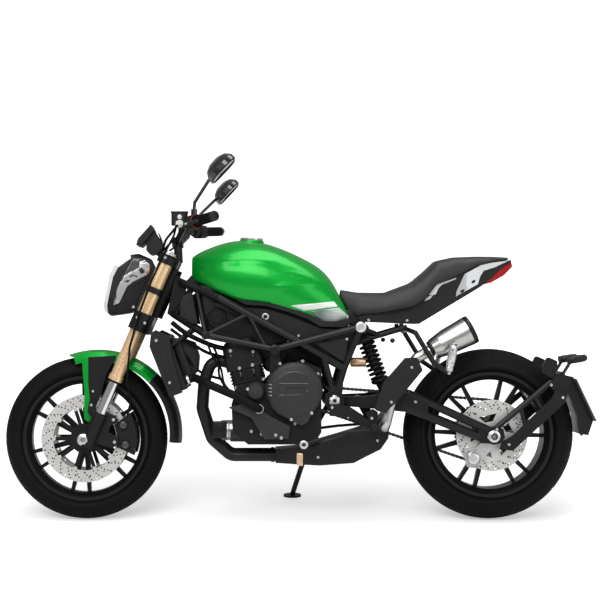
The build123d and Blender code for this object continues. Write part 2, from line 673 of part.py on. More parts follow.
def frame_side():
    """One side of the tube frame: two long runs, the rail that crosses them, the rear drop and the struts."""
    main = points_of(MAIN_RUN)
    lower = points_of(LOWER_RUN)
    pieces = [bars(main, MAIN_TUBE), bars(lower, LOWER_TUBE)]
    pieces += [bars(points_of(RAIL_RUN), LOWER_TUBE), bars(points_of(REAR_RUN), LOWER_TUBE)]
    for upper_x, lower_x in ((410.0, 447.0), (392.0, 330.0), (600.0, 447.0), (602.0, 665.0)):
        pieces.append(rod(run_point(main, upper_x), run_point(lower, lower_x), STRUT_TUBE))
    pieces.append(rod(run_point(main, 872.0), (PIVOT[0] - 6, -135, PIVOT[1] + 30), LOWER_TUBE))
    pieces.append(disc_y(PIVOT[0], PIVOT[1], 36.0, -150, -120))
    pieces.append(slab([(895, 460), (890, 492), (945, 505), (940, 455)], -147, -124))
    pieces.append(disc_y(1007, 710, 20.0, -176, -144))
    pieces.append(disc_y(SHOCK_TOP[0], SHOCK_TOP[1], 18.0, -160, -132))
    pieces.append(disc_y(697, 629, 19.0, -180, -152))
    pieces.append(disc_y(447, 681, 16.0, -166, -138))
    outside = Pos(0, -HEAD_HALF, 0) * Box(5000, 3000, 5000, align=(Align.CENTER, Align.MAX, Align.CENTER))
    return (fused(pieces) & outside) - disc_y(PIVOT[0], PIVOT[1], PIVOT_SHAFT + FIT, -200, -80)


def frame():
    """Both frame sides, the steering head, the cross tubes between the sides, and the tail's subframe."""
    left = frame_side()
    right = across(left)
    NODES["frame_left"] = left
    NODES["frame_right"] = right
    head = rod(fork_point(514, STEERING_BACK), fork_point(704, STEERING_BACK), 33.0)
    gusset = slab([(330, 740), (300, 760), (330, 905), (372, 880), (360, 800), (372, 740)], -HEAD_HALF, HEAD_HALF)
    head = head + gusset - rod(fork_point(400, STEERING_BACK), fork_point(800, STEERING_BACK), STEM_RADIUS + FIT)
    ties = []
    for x, z, y, radius in ((500, 813, 125, 10), (447, 681, 142, 10), (948, 562, 134, 10),
                            (SHOCK_TOP[0], SHOCK_TOP[1], 131.7, 12)):
        tie = disc_y(x, z, radius, -y, y)
        ties.append(tie if radius == 12 else tie - left - right)
    NODES["frame_head"] = together([head] + ties)

    rail = fused([
        bars([(984, -138, 648), (1012, -112, 661), (1180, -95, 710)], 10.0),
        rod((1012, -142, 706), (1076, -106, 682), 9.0),
        rod((1160, -97, 704), (1160, -97, 723.6), 8.0),
        disc_y(1150, 701, 8.0, -97, 0.01),
    ])
    NODES["subframe"] = both(rail) - left - right - NODES["frame_head"]
    NODES["pivot_shaft"] = disc_y(PIVOT[0], PIVOT[1], PIVOT_SHAFT, -156, 156)


# The engine

ENGINE_LEAN = 14.0
CYLINDER_BASE = (606.0, 500.0)
CASE_HALF = 148.0
BARREL_TOP = 62.0
HEAD_TOP = 112.0
COVER_TOP = 168.0


def engine():
    """The twin's cases, its leaning cylinder block with head and cam cover, and the side covers."""
    case = slab([(545, 330), (540, 430), (560, 500), (665, 505), (700, 560), (790, 590), (800, 588), (800, 285),
                 (600, 285)], -CASE_HALF, CASE_HALF)
    gearbox = slab([(799, 588), (866, 560), (866, 330), (840, 285), (799, 285)], -CASE_HALF, 80)
    mount = slab([(678, 540), (722, 560), (712, 640), (682, 640)], -151.7, -128)
    crankcase = fused([case, gearbox, mount, across(mount)])
    NODES["crankcase"] = crankcase

    lean = math.radians(ENGINE_LEAN)
    base = Plane(origin=(CYLINDER_BASE[0], 0, CYLINDER_BASE[1]), x_dir=(math.cos(lean), 0, math.sin(lean)),
                 z_dir=(-math.sin(lean), 0, math.cos(lean)))
    fins = []
    for k in range(4):
        fins.append(extrude(base.offset(14 + 12 * k) * RectangleRounded(126, 258, 18), 4))
    barrel = fused([extrude(base.offset(-20) * RectangleRounded(118, 250, 18), BARREL_TOP + 20)] + fins)
    head = extrude(base.offset(BARREL_TOP) * RectangleRounded(138, 262, 14), HEAD_TOP - BARREL_TOP)
    cover = loft([base.offset(HEAD_TOP) * RectangleRounded(138, 250, 26),
                  base.offset(COVER_TOP - 20) * RectangleRounded(132, 246, 26),
                  base.offset(COVER_TOP) * RectangleRounded(108, 226, 26)], ruled=True)
    NODES["cylinders"] = barrel - crankcase
    NODES["cylinder_head"] = head + cover

    face = -CASE_HALF - FIT
    clutch = turned([(0, face), (103, face), (103, -176), (98, -184), (88, -190), (66, -194), (0, -196)], 767, 481)
    lobe = slab([(702, 405), (835, 410), (815, 368), (792, 356), (768, 368)], -184, face)
    badge_place = slab([(735, 494), (806, 494), (806, 478), (786, 462), (735, 462)], -205, -192)
    NODES["clutch_cover"] = clutch + lobe - badge_place - crankcase
    lower = slab([(530, 420), (612, 384), (660, 306), (745, 308), (752, 352), (690, 384), (600, 440)], -184, face)
    pump = turned([(0, face), (33, face), (33, -170), (26, -182), (0, -184)], 627, 478)
    alternator = turned([(0, -face), (90, -face), (90, 176), (78, 188), (40, 192), (0, 192)], 735, 460)
    oil_filter = rod((596, -60, 322), (534.7, -60, 322), 33.0) - crankcase
    NODES["side_covers"] = together([lower, pump - lower, alternator, oil_filter])


def radiator():
    """The radiator on its two stays, its side shrouds and the hose down to the water pump."""
    lean = 20.0
    plane = Plane(origin=(330, 0, 580), x_dir=(math.cos(math.radians(lean)), 0, math.sin(math.radians(lean))),
                  z_dir=(math.sin(math.radians(-lean)), 0, math.cos(math.radians(lean))))
    core = extrude(plane * Rectangle(24, 320), 104, both=True)
    tank = extrude(plane * Pos(0, -146) * RectangleRounded(34, 28, 8), 104, both=True)
    stay = rod(run_point(points_of(LOWER_RUN), 404.0), (318, -118, 640), 8.0)
    NODES["radiator"] = fused([core, tank, across(tank), stay, across(stay)]) - NODES["frame_left"] - NODES["frame_right"]
    outline = [(251, 690), (268, 700), (315, 679), (325, 613), (346, 532), (364, 474), (318, 457), (286, 536), (245, 640)]
    shroud = slab(outline, -178, -160.3)
    NODES["radiator_shrouds"] = together([shroud, across(shroud)])
    hose = bent_tube([(371.7, -138, 515.4), (405.3, -138, 527.6), (452, -196, 508), (560, -204, 462), (640, -204, 416),
                      (640, -184, 416)], 15.0, 19.0)
    NODES["coolant_hose"] = hose - NODES["radiator"]


SILENCER_Y = -148.0


def exhaust():
    """Two headers into the box under the engine, the pipe up past the swingarm and the short silencer."""
    pipes = []
    for y in (-62, 36):
        path = [(524, y, 580), (466, y, 594), (437, y, 508), (430, y, 410), (466, y, 300), (536, y, 238), (700.3, y, 238)]
        pipes.append(bent_tube(path, PIPE_RADIUS, 45.0) - NODES["cylinder_head"] - NODES["cylinders"])
    NODES["exhaust_headers"] = together(pipes)
    outline = [(700.3, 262), (700.3, 214), (862, 207), (984, 216), (1030, 240), (1082, 266), (1110, 306), (1116, 372),
               (1098, 392), (1052, 350), (960, 322), (821, 272)]
    waist = [(690, -96), (800, -126), (1130, -128), (1130, 62), (800, 62), (690, 66)]
    top_view = extrude(Plane.XY * Polygon(*waist, align=None), 500, dir=(0, 0, 1))
    NODES["exhaust_box"] = slab(outline, -128, 66) & top_view
    axis = Vector(1401 - 1257, 0, 697 - 622).normalized()
    start = Vector(1262, SILENCER_Y, 626)
    before = start - axis * 55
    pipe = bent_tube([(1092, -128, 350), (1092, -182, 350), (1124, -180, 480), tuple(before), tuple(start)], 20.0, 24.0)
    plane = Plane(origin=tuple(start), x_dir=(0, 1, 0), z_dir=tuple(axis))
    can = loft([plane * Circle(31), plane.offset(40) * Circle(42), plane.offset(160) * Circle(52),
                plane.offset(168) * Circle(49)], ruled=True)
    outlet = extrude(plane.offset(110) * Circle(24), 100)
    lug = rod((1284, -160, 622), (1268, -202, 588), 8.0)
    NODES["silencer"] = fused([can - outlet, pipe, lug])
    shield = soft_slab([(1052, 414), (1088, 402), (1130, 440), (1226, 556), (1206, 602), (1162, 600), (1088, 516)],
                       -214, -205, 9.0)
    bosses = [disc_y(1113, 440, 8, -206, -190), disc_y(1186, 566, 8, -206, -178)]
    NODES["heat_shield"] = fused([shield] + bosses) - NODES["silencer"]


def arch(x, low, high, half):
    """A tank section: nearly upright sides that round over into the top."""
    tall = high - low
    curve = Spline((-0.86 * half, low), (-half, low + 0.40 * tall), (-0.84 * half, low + 0.74 * tall), (0, high),
                   (0.84 * half, low + 0.74 * tall), (half, low + 0.40 * tall), (0.86 * half, low))
    return Plane.YZ.offset(x) * make_face(curve + Line((0.86 * half, low), (-0.86 * half, low)))


def tank():
    """The fuel tank, the black strips under its edge, the airbox covers and the frame's corner panels."""
    tops = [(392, 968), (430, 992), (500, 1019), (580, 1032), (660, 1021), (740, 994), (820, 956), (880, 915), (925, 852),
            (966, 762)]
    lows = [900, 870, 834, 808, 800, 781, 752, 726, 722, 732]
    halves = [58, 96, 140, 160, 164, 160, 150, 138, 126, 112]
    sections = [arch(x, low, high, half) for (x, high), low, half in zip(tops, lows, halves)]
    body = loft(sections)
    NODES["fuel_tank"] = body
    below_tank = Pos(0, 0, -0.5) * body
    cover = slab([(470, 795), (560, 752), (800, 640), (930, 655), (960, 700), (862, 706), (745, 752), (665, 776),
                  (590, 780), (520, 800)], -119, 119)
    holes = [disc_y(500, 813, 11, -200, 200), disc_y(948, 562, 14, -200, 200)]
    edge = [(560, 826), (600, 810), (666, 806), (749, 788), (818, 760), (868, 732), (930, 730), (972, 740), (978, 728),
            (946, 710), (862, 712), (815, 741), (745, 766), (664, 788), (592, 792), (560, 808)]
    strip = slab(edge, -134, -120) - below_tank
    corner = slab([(848, 648), (960, 674), (955, 596), (942, 586)], -149, -144) - NODES["frame_left"]
    nose = slab([(352, 790), (392, 812), (404, 748), (388, 736)], -66, -60) - NODES["frame_left"]
    small = [strip, corner, nose]
    cover = cover + disc_y(880, 677, 8, -155, 155) + disc_y(620, 746, 8, -140, 140)
    pieces = [cover - holes - NODES["frame_left"] - NODES["frame_right"] - below_tank]
    for piece in small:
        pieces += [piece, across(piece)]
    NODES["airbox"] = together(pieces)


CAP_CENTRE = (612.0, 1034.0)


def fuel_cap():
    """The hinged filler cap: a dished lid with a raised rim."""
    lid = Cylinder(42, 7, align=(Align.CENTER, Align.CENTER, Align.MIN))
    dish = Pos(0, 0, 5) * Cylinder(33, 7, align=(Align.CENTER, Align.CENTER, Align.MIN))
    NODES["fuel_cap"] = Pos(CAP_CENTRE[0], 0, CAP_CENTRE[1]) * Rot(0, 2, 0) * (lid - dish)


COWL_TOP = [(1000, 748), (1100, 764), (1200, 783), (1246, 811), (1291, 867), (1355, 892), (1436, 934), (1500, 951),
            (1571, 958)]
COWL_BOTTOM = [(1571, 950), (1556, 941), (1526, 920), (1494, 889), (1451, 857), (1224, 722), (1010, 731)]
SEAT_STATIONS = [(940, 770, 850, 66), (1000, 744, 839, 98), (1100, 759, 836, 128), (1200, 777, 874, 130),
                 (1246, 804, 912, 124), (1291, 858, 955, 112), (1355, 886, 968, 104), (1436, 928, 970, 88),
                 (1500, 945, 970, 72), (1562, 955, 968, 44)]


def tail_wedge(extra):
    """The tail's outline from above, widened by a little on each side."""
    half = [(990, 100), (1200, 104), (1400, 84), (1580, 38)]
    outline = [(x, y + extra) for x, y in half] + [(x, -y - extra) for x, y in reversed(half)]
    return extrude(Plane.XY.offset(600) * Polygon(*outline, align=None), 500, dir=(0, 0, 1))


def seat_and_tail():
    """The one-piece seat on the tail cowl, the bright side panels and the lamp under its end."""
    cowl_side = slab(COWL_TOP + COWL_BOTTOM, -200, 200)
    NODES["tail_cowl"] = cowl_side & tail_wedge(0)
    sections = []
    for x, low, high, half in SEAT_STATIONS:
        tall = high - low
        curve = Spline((-0.97 * half, low), (-half, low + 0.35 * tall), (-0.80 * half, low + 0.84 * tall), (0, high),
                       (0.80 * half, low + 0.84 * tall), (half, low + 0.35 * tall), (0.97 * half, low))
        face = make_face(curve + Line((0.97 * half, low), (-0.97 * half, low)))
        sections.append(Plane.YZ.offset(x) * face)
    under = [(900, 744)] + COWL_TOP + [(1700, 958), (1700, 500), (900, 500)]
    above_tank = Pos(0.8, 0, 0.8) * NODES["fuel_tank"]
    seat = loft(sections, ruled=True) - Pos(0, 0, FIT) * slab(under, -300, 300) - above_tank
    NODES["seat"] = seat
    silver = [(1360, 822), (1362, 840), (1393, 905), (1455, 938), (1500, 948), (1562, 956), (1509, 931), (1465, 917),
              (1451, 895), (1443, 868)]
    panels = (slab(silver, -200, 200) & tail_wedge(4)) - tail_wedge(FIT)
    NODES["tail_panels"] = together([panels])
    lamp = [(1454, 864), (1494, 898), (1526, 928), (1556, 948), (1571, 952), (1576, 934), (1543, 901), (1494, 874)]
    NODES["tail_light"] = (slab(lamp, -200, 200) & tail_wedge(-2)) - cowl_side


def swingarm():
    """The fork of the rear wheel: a tapering box each side that opens into two tubes, and its cross tubes."""
    stations = [(930, 424, 456, 86, 112), (1040, 416, 460, 113, 140), (1150, 405, 482, 125, 152),
                (1252, 395, 448, 125, 152)]
    pieces = []
    for first, second in zip(stations, stations[1:]):
        faces = []
        for x, z_low, z_high, y_in, y_out in (first, second):
            corners = ((-y_out, z_low), (-y_in, z_low), (-y_in, z_high), (-y_out, z_high))
            faces.append(Plane.YZ.offset(x) * Polygon(*corners, align=None))
        pieces.append(loft(faces, ruled=True))
    pieces.append(rod((1180, -138, 470), (1484, -138, 331), 15.0))
    pieces.append(rod((1160, -138, 424), (1440, -138, 312), 16.0))
    pieces.append(slab([(1430, 340), (1490, 350), (1524, 342), (1530, 310), (1512, 288), (1440, 290)], -152, -124))
    pieces.append(disc_y(REAR_AXLE[0], REAR_AXLE[1], 30, -154, -124))
    side = fused(pieces)
    ties = [disc_y(PIVOT[0], PIVOT[1], 24, -116, 116), disc_y(1010, 440, 16, -120, 120),
            disc_y(SHOCK_FOOT[0], SHOCK_FOOT[1], 13, -130, 130)]
    holes = [disc_y(PIVOT[0], PIVOT[1], PIVOT_SHAFT + FIT, -200, 200),
             disc_y(REAR_AXLE[0], REAR_AXLE[1], AXLE_RADIUS + FIT, -200, 200)]
    NODES["swingarm"] = fused([side, across(side)] + ties) - holes
    half = 168.0
    axle = disc_y(REAR_AXLE[0], REAR_AXLE[1], AXLE_RADIUS, -half, half)
    NODES["rear_axle"] = axle - disc_y(REAR_AXLE[0], REAR_AXLE[1], AXLE_BORE, -half - 5, half + 5)


def plate_carrier():
    """The arms behind the rear wheel, with the plate, its post and the rear indicators."""
    arm = fused([
        rod((1500, -138, 344), (1702, -126, 512), 11),
        slab([(1512, 268), (1560, 262), (1752, 440), (1750, 475), (1716, 486), (1700, 452), (1560, 318), (1522, 296)],
             -146, -134),
        rod((1640, -131, 459), (1670, -139, 408), 8),
        rod((1590, -133, 418), (1606, -139, 352), 8),
        slab([(1690, 500), (1722, 540), (1768, 512), (1756, 450), (1742, 446)], -135, -100),
        soft_slab([(1662, 548), (1690, 602), (1726, 586), (1714, 518)], -126, -102, 9.0),
    ]) - NODES["swingarm"]
    post = slab([(1757, 505), (1748, 538), (1797, 527), (1800, 519), (1870, 366), (1852, 312), (1818, 318),
                 (1812, 380), (1790, 442)], -58, 58)
    bridge = slab([(1722, 538), (1745, 548), (1775, 512), (1757, 500)], -124, 124)
    NODES["number_plate"] = slab([(1800, 518), (1803, 521), (1876, 367), (1872, 365)], -90, 90)
    NODES["plate_arms"] = fused([arm, across(arm), post, bridge]) - NODES["number_plate"]
    lamps = []
    for side in (-1, 1):
        y = side * 78
        lamps.append(fused([
            rod((1752, y, 535), (1785, y, 588), 6), rod((1770, y, 588), (1836, y, 598), 13),
            rod((1836, y, 598), (1842, y, 599), 9)]) - NODES["plate_arms"])
    NODES["rear_indicators"] = together(lamps)


def shock():
    """The rear shock: two eyes on their cross tubes, a damper and its coils, and the reservoir beside it."""
    top = Vector(SHOCK_TOP[0], 0, SHOCK_TOP[1])
    foot = Vector(SHOCK_FOOT[0], 0, SHOCK_FOOT[1])
    way = (foot - top).normalized()
    coils = []
    for k in range(8):
        centre = top + way * (62 + 18.5 * k)
        coils.append(Plane(origin=tuple(centre), z_dir=(way.X + 0.08, 0, way.Z)) * Torus(28, 5.2))
    pieces = [
        disc_y(top.X, top.Z, 21, -19, 19), disc_y(foot.X, foot.Z, 22, -19, 19),
        rod(tuple(top + way * 16), tuple(top + way * 52), 33), rod(tuple(top + way * 50), tuple(top + way * 206), 24),
        rod(tuple(top + way * 200), tuple(foot - way * 10), 15),
        rod(tuple(top + way * 199), tuple(top + way * 209), 34),
        rod((986, 0, 580), (1036, 0, 580), 18),
    ]
    holes = [disc_y(top.X, top.Z, 12 + FIT, -40, 40), disc_y(foot.X, foot.Z, 13 + FIT, -40, 40)]
    NODES["rear_shock"] = fused(pieces + coils) - holes


def rider_parts():
    """Footrests with their plates, the brake pedal and gear lever, and the pillion's hangers."""
    plate = slab([(895, 390), (895, 432), (932, 432), (960, 424), (1040, 372), (1024, 402), (1050, 416), (1068, 404),
                  (1066, 352), (1056, 338), (960, 385)], -178, -168)
    peg = rod((1052, -178, 350), (1052, -262, 352), 13)
    ribs = [rod((1052, -196 - 12 * k, 350.4), (1052, -200 - 12 * k, 350.5), 14.5) for k in range(5)]
    bosses = [disc_y(903, 421, 7, -168.5, -150.3), disc_y(926, 423, 7, -168.5, -150.3)]
    side = fused([plate, peg] + ribs + bosses)
    pedal = fused([bars([(1052, -186, 340), (940, -190, 330), (806, -196, 292)], 6.5), disc_y(800, 290, 13, -222, -186)])
    lever = fused([bars([(1052, 186, 340), (940, 206, 330), (806, 212, 312)], 5.5)])
    NODES["footrests"] = together([side + pedal, across(side) + lever])
    arm = fused([
        bars([(1096, -108, 680), (1118, -205, 662), (1266, -205, 581), (1319, -205, 545)], 9),
        bars([(1174, -104, 704), (1200, -205, 690), (1266, -205, 581)], 9),
        rod((1319, -206, 545), (1337, -222, 650), 11),
    ]) - NODES["subframe"]
    NODES["pillion_hangers"] = together([arm, across(arm)])
    NODES["silencer"] = NODES["silencer"] - NODES["pillion_hangers"]


def rear_caliper():
    """The rear caliper under the swingarm, on a plate that hangs on the axle."""
    block = slab([(1385, 262), (1400, 200), (1440, 196), (1452, 236), (1430, 270)], -122, -84)
    block = block + disc_y(1419, 232, 20, -134, -110)
    bracket = slab([(1430, 266), (1452, 230), (1502, 282), (1514, 315), (1490, 338), (1466, 318)], -123.7, -110.5)
    slot = disc_y(REAR_AXLE[0], REAR_AXLE[1], REAR_DISC_RADIUS + 6, -REAR_DISC_Y - 7, -REAR_DISC_Y + 7)
    bore = disc_y(REAR_AXLE[0], REAR_AXLE[1], AXLE_RADIUS + FIT, -200, -80)
    NODES["rear_caliper"] = block - slot + bracket - bore


# The side stand, on the far side, and the ground that the leaning bike stands on

STAND_PIVOT = (840.0, 168.0, 292.0)
STAND_FOOT = (770.0, 285.0)
STAND_TUCKED = (0.965, 0.22, -0.02)


def ground_under(y):
    """The road's height at a distance from the middle plane, once the bike leans."""
    lean = math.radians(LEAN)
    crown = 60.0
    return (crown * (math.cos(lean) - 1) + y * math.sin(lean)) / math.cos(lean)


def stand_directions():
    """The foot's place, the leg's way down, the hinge's axis and how far the stand swings."""
    foot = Vector(STAND_FOOT[0], STAND_FOOT[1], ground_under(STAND_FOOT[1]) + 8)
    down = (foot - Vector(*STAND_PIVOT)).normalized()
    tucked = Vector(*STAND_TUCKED).normalized()
    axis = down.cross(tucked).normalized()
    swing = math.degrees(math.acos(down.dot(tucked)))
    return foot, down, axis, swing


def side_stand():
    """The stand's leg with its eye and pad, and the lug and pin that the frame carries it on."""
    foot, down, axis, _ = stand_directions()
    pivot = Vector(*STAND_PIVOT)
    eye = rod(tuple(pivot - axis * 11), tuple(pivot + axis * 11), 17)
    leg = rod(tuple(pivot + down * 8), tuple(foot), 10)
    up = Vector(0, -math.sin(math.radians(LEAN)), math.cos(math.radians(LEAN)))
    pad_plane = Plane(origin=(foot.X, foot.Y, ground_under(foot.Y)), x_dir=(1, 0, 0), z_dir=tuple(up))
    pad = extrude(pad_plane * Ellipse(34, 24), 8)
    below = pad_plane * Box(600, 600, 200, align=(Align.CENTER, Align.CENTER, Align.MAX))
    hole = rod(tuple(pivot - axis * 30), tuple(pivot + axis * 30), 8 + FIT)
    NODES["side_stand"] = fused([eye, leg, pad]) - below - hole
    pin = rod(tuple(pivot - axis * 13), tuple(pivot + axis * 34), 8)
    lug = rod(tuple(pivot + axis * 11.3), tuple(pivot + axis * 34), 20)
    tie = bars([tuple(pivot + axis * 30), (852, 128, 330), (904, 136, 418)], 10)
    NODES["stand_bracket"] = fused([pin, lug, tie]) - NODES["frame_right"]


def build():
    """Every part of the bike, from the wheels to the stand."""
    front_wheel()
    rear_wheel()
    NODES["chain"] = chain()
    fork()
    clamps()
    handlebar()
    mirrors()
    headlight()
    dash()
    front_fender()
    front_calipers()
    front_hose()
    frame()
    engine()
    radiator()
    exhaust()
    tank()
    fuel_cap()
    seat_and_tail()
    swingarm()
    plate_carrier()
    shock()
    rider_parts()
    rear_caliper()
    side_stand()


BODIES = {
    "steering": ["fork_tubes", "fork_sliders", "fork_feet", "front_axle", "triple_clamps", "handlebar", "grips",
                 "bar_controls", "mirrors", "headlight", "headlight_lens", "headlight_bracket", "instrument",
                 "front_fender", "fender_brackets", "front_calipers", "front_brake_hose"],
    "front_wheel": ["front_tyre", "front_rim", "front_discs"],
    "rear_wheel": ["rear_tyre", "rear_rim", "rear_disc", "rear_sprocket"],
    "side_stand": ["side_stand"],
    "fuel_cap": ["fuel_cap"],
}


def placed(shape, shift):
    """A piece leaned over onto the stand and moved to the origin."""
    return Pos(*shift) * Rot(-LEAN, 0, 0) * shape


def footprint_shift():
    """Moves the leaned bike so that the origin is under the middle of its outline."""
    low, high = [1e9] * 3, [-1e9] * 3
    for shape in NODES.values():
        box = (Rot(-LEAN, 0, 0) * shape).bounding_box()
        for k, (a, b) in enumerate(zip(tuple(box.min), tuple(box.max))):
            low[k] = min(low[k], a)
            high[k] = max(high[k], b)
    return (-(low[0] + high[0]) / 2, -(low[1] + high[1]) / 2, -low[2])


build()
SHIFT = footprint_shift()


def main():
    os.makedirs("parts", exist_ok=True)
    for name, shape in NODES.items():
        export_step(placed(shape, SHIFT), f"parts/{name}.step")


main()
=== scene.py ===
from functools import cache
import json
from math import asin, atan2, copysign, cos, dist, exp, pi, radians, sin

import bpy
from mathutils import Matrix, Vector
from mathutils.bvhtree import BVHTree
from mathutils.geometry import delaunay_2d_cdt

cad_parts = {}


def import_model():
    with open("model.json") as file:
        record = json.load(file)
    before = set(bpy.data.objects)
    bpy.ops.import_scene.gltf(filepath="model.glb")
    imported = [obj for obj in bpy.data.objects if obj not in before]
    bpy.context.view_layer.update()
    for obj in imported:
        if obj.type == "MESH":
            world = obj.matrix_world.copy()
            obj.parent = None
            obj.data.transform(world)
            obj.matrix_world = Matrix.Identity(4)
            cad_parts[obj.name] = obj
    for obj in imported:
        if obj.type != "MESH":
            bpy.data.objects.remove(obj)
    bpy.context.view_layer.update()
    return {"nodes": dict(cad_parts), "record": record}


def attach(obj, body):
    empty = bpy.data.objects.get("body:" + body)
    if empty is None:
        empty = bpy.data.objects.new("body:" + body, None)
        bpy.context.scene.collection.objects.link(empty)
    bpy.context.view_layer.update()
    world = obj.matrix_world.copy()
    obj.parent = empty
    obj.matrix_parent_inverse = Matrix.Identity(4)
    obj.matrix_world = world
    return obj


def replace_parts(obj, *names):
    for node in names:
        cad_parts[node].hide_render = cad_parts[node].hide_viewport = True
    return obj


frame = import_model()

# The bike's own upright frame, in millimetres: x rearwards from the front axle, y to the far side,
# z up. The parked bike leans, so everything made in it goes through BIKE into the shared frame.

MM = 0.001
LEAN = radians(10.0)
FRONT_AXLE = (0.0, 300.0)
REAR_AXLE = (1490.0, 315.0)
FRONT_BORE_START = Vector((0.0, -122.0, 300.0)) * MM
SIDES = (-1, 1)
SIDEWAYS = Vector((0.0, 1.0, 0.0))


def lean_matrix():
    """The turn and the shift that take the upright bike to where it is parked."""
    mounts = {m["name"]: m for m in frame["record"]["mounts"]}
    turn = Matrix.Rotation(-LEAN, 4, "X")
    place = Vector(mounts["front_axle_bore"]["pos_m"])
    return Matrix.Translation(place - turn @ FRONT_BORE_START) @ turn


BIKE = lean_matrix()
BACK = BIKE.inverted()


# Materials

GRAIN_DEPTH = 0.0004
MOTTLE_SCALE = 7.0
NOISE_RANGE = (0.3, 0.7)
WHITE = (1.0, 1.0, 1.0, 1.0)


class Graph:
    """The node tree of a material or a world."""

    def __init__(self, owner):
        owner.use_nodes = True
        self.owner = owner
        self.tree = owner.node_tree
        self.tree.nodes.clear()

    def add(self, kind, **values):
        """A new node; an underscore stands for a space in an input's name."""
        node = self.tree.nodes.new("ShaderNode" + kind)
        for name, value in values.items():
            node.inputs[name.replace("_", " ")].default_value = value
        return node

    def link(self, start, end):
        """Joins an output to an input."""
        self.tree.links.new(start, end)

    def noise(self, scale, detail=4.0, stretch=(1.0, 1.0, 1.0)):
        """A noise over the object's own coordinates, stretched along an axis where asked."""
        mapping = self.add("Mapping", Scale=stretch)
        texture = self.add("TexNoise", Scale=scale, Detail=detail)
        self.link(self.add("TexCoord").outputs["Object"], mapping.inputs["Vector"])
        self.link(mapping.outputs["Vector"], texture.inputs["Vector"])
        return texture.outputs["Fac"]

    def span(self, value, start, end, low=0.0, high=1.0):
        """A number carried from one range to another."""
        node = self.add("MapRange", From_Min=start, From_Max=end, To_Min=low, To_Max=high)
        self.link(value, node.inputs["Value"])
        return node.outputs["Result"]


class Paint(Graph):
    """A material with one principled shader."""

    def __init__(self, name, **values):
        super().__init__(bpy.data.materials.new(name))
        self.output = self.add("OutputMaterial")
        self.shader = self.add("BsdfPrincipled", **values)
        self.link(self.shader.outputs["BSDF"], self.output.inputs["Surface"])

    def colours(self, value, first, second):
        """Drives the colour between two by a number."""
        ramp = self.add("ValToRGB")
        for element, place, colour in zip(ramp.color_ramp.elements, NOISE_RANGE, (first, second)):
            element.position = place
            element.color = (*colour, 1.0)
        self.link(value, ramp.inputs["Fac"])
        self.link(ramp.outputs["Color"], self.shader.inputs["Base Color"])

    def gloss(self, value, low, high):
        """Drives the roughness between two values by a noise."""
        self.link(self.span(value, *NOISE_RANGE, low, high), self.shader.inputs["Roughness"])

    def bump(self, height, strength, distance, edge=0.0):
        """A fine relief from a noise, over softly rounded edges where asked."""
        relief = self.add("Bump", Strength=strength, Distance=distance)
        self.link(height, relief.inputs["Height"])
        if edge:
            soft = self.add("Bevel", Radius=edge)
            soft.samples = 4
            self.link(soft.outputs["Normal"], relief.inputs["Normal"])
        self.link(relief.outputs["Normal"], self.shader.inputs["Normal"])


def surface(name, colour, rough, metallic=0.0, spread=0.12, grain=900.0, relief=0.05, edge=0.0012,
            coat=0.0, stretch=(1.0, 1.0, 1.0), sheen=0.0, specular=0.5):
    """A hard or soft surface: mottled colour, uneven gloss and a fine grain."""
    paint = Paint(name, Metallic=metallic, Coat_Weight=coat, Coat_Roughness=0.04, Sheen_Weight=sheen,
                  Specular_IOR_Level=specular)
    darker = tuple(c * (1.0 - spread) for c in colour)
    lighter = tuple(min(1.0, c * (1.0 + spread)) for c in colour)
    paint.colours(paint.noise(MOTTLE_SCALE, 3.0), darker, lighter)
    fine = paint.noise(grain, 2.0, stretch)
    paint.gloss(fine, rough * 0.85, min(1.0, rough * 1.15))
    paint.bump(fine, relief, GRAIN_DEPTH, edge)
    return paint.owner


def green_paint():
    """Metallic green paint: fine flakes under a clear coat."""
    paint = Paint("green_paint", Metallic=0.45, Specular_IOR_Level=0.2, Coat_Weight=0.3, Coat_Roughness=0.09)
    flakes = paint.noise(1800.0, 1.0)
    paint.colours(flakes, (0.000, 0.230, 0.020), (0.000, 0.460, 0.044))
    paint.gloss(flakes, 0.26, 0.40)
    paint.bump(paint.noise(30.0, 2.0), 0.02, 0.0005)
    return paint.owner


def lens_painted_glint():
    """A lamp cover coloured by the way its face turns: a painted pale reflection where its rim turns to the
    side, dark over the lamp itself.
    """
    paint = Paint("lens_painted_glint", Coat_Weight=1.0)
    apart = paint.add("SeparateXYZ")
    paint.link(paint.add("NewGeometry").outputs["Normal"], apart.inputs["Vector"])
    # painted reflection: pale where the cover turns to the side, dark where it faces forward
    paint.colours(paint.span(apart.outputs["X"], -0.98, -0.70), (0.012, 0.013, 0.015), (0.62, 0.64, 0.65))
    paint.gloss(paint.noise(40.0), 0.08, 0.16)
    return paint.owner


def shaded_film():
    """A grey film that fades from pale to dark along the tank, with soft streaks."""
    paint = Paint("shaded_film", Roughness=0.3, Coat_Weight=0.8)
    apart = paint.add("SeparateXYZ")
    paint.link(paint.add("TexCoord").outputs["Object"], apart.inputs["Vector"])
    sway = paint.add("Math")
    sway.operation = "MULTIPLY_ADD"
    sway.inputs[1].default_value = 0.03
    paint.link(paint.noise(60.0, 3.0, (0.2, 1.0, 1.0)), sway.inputs[0])
    paint.link(apart.outputs["X"], sway.inputs[2])
    paint.colours(paint.span(sway.outputs[0], 0.052, 0.182), (0.10, 0.12, 0.11), (0.42, 0.46, 0.43))
    return paint.owner


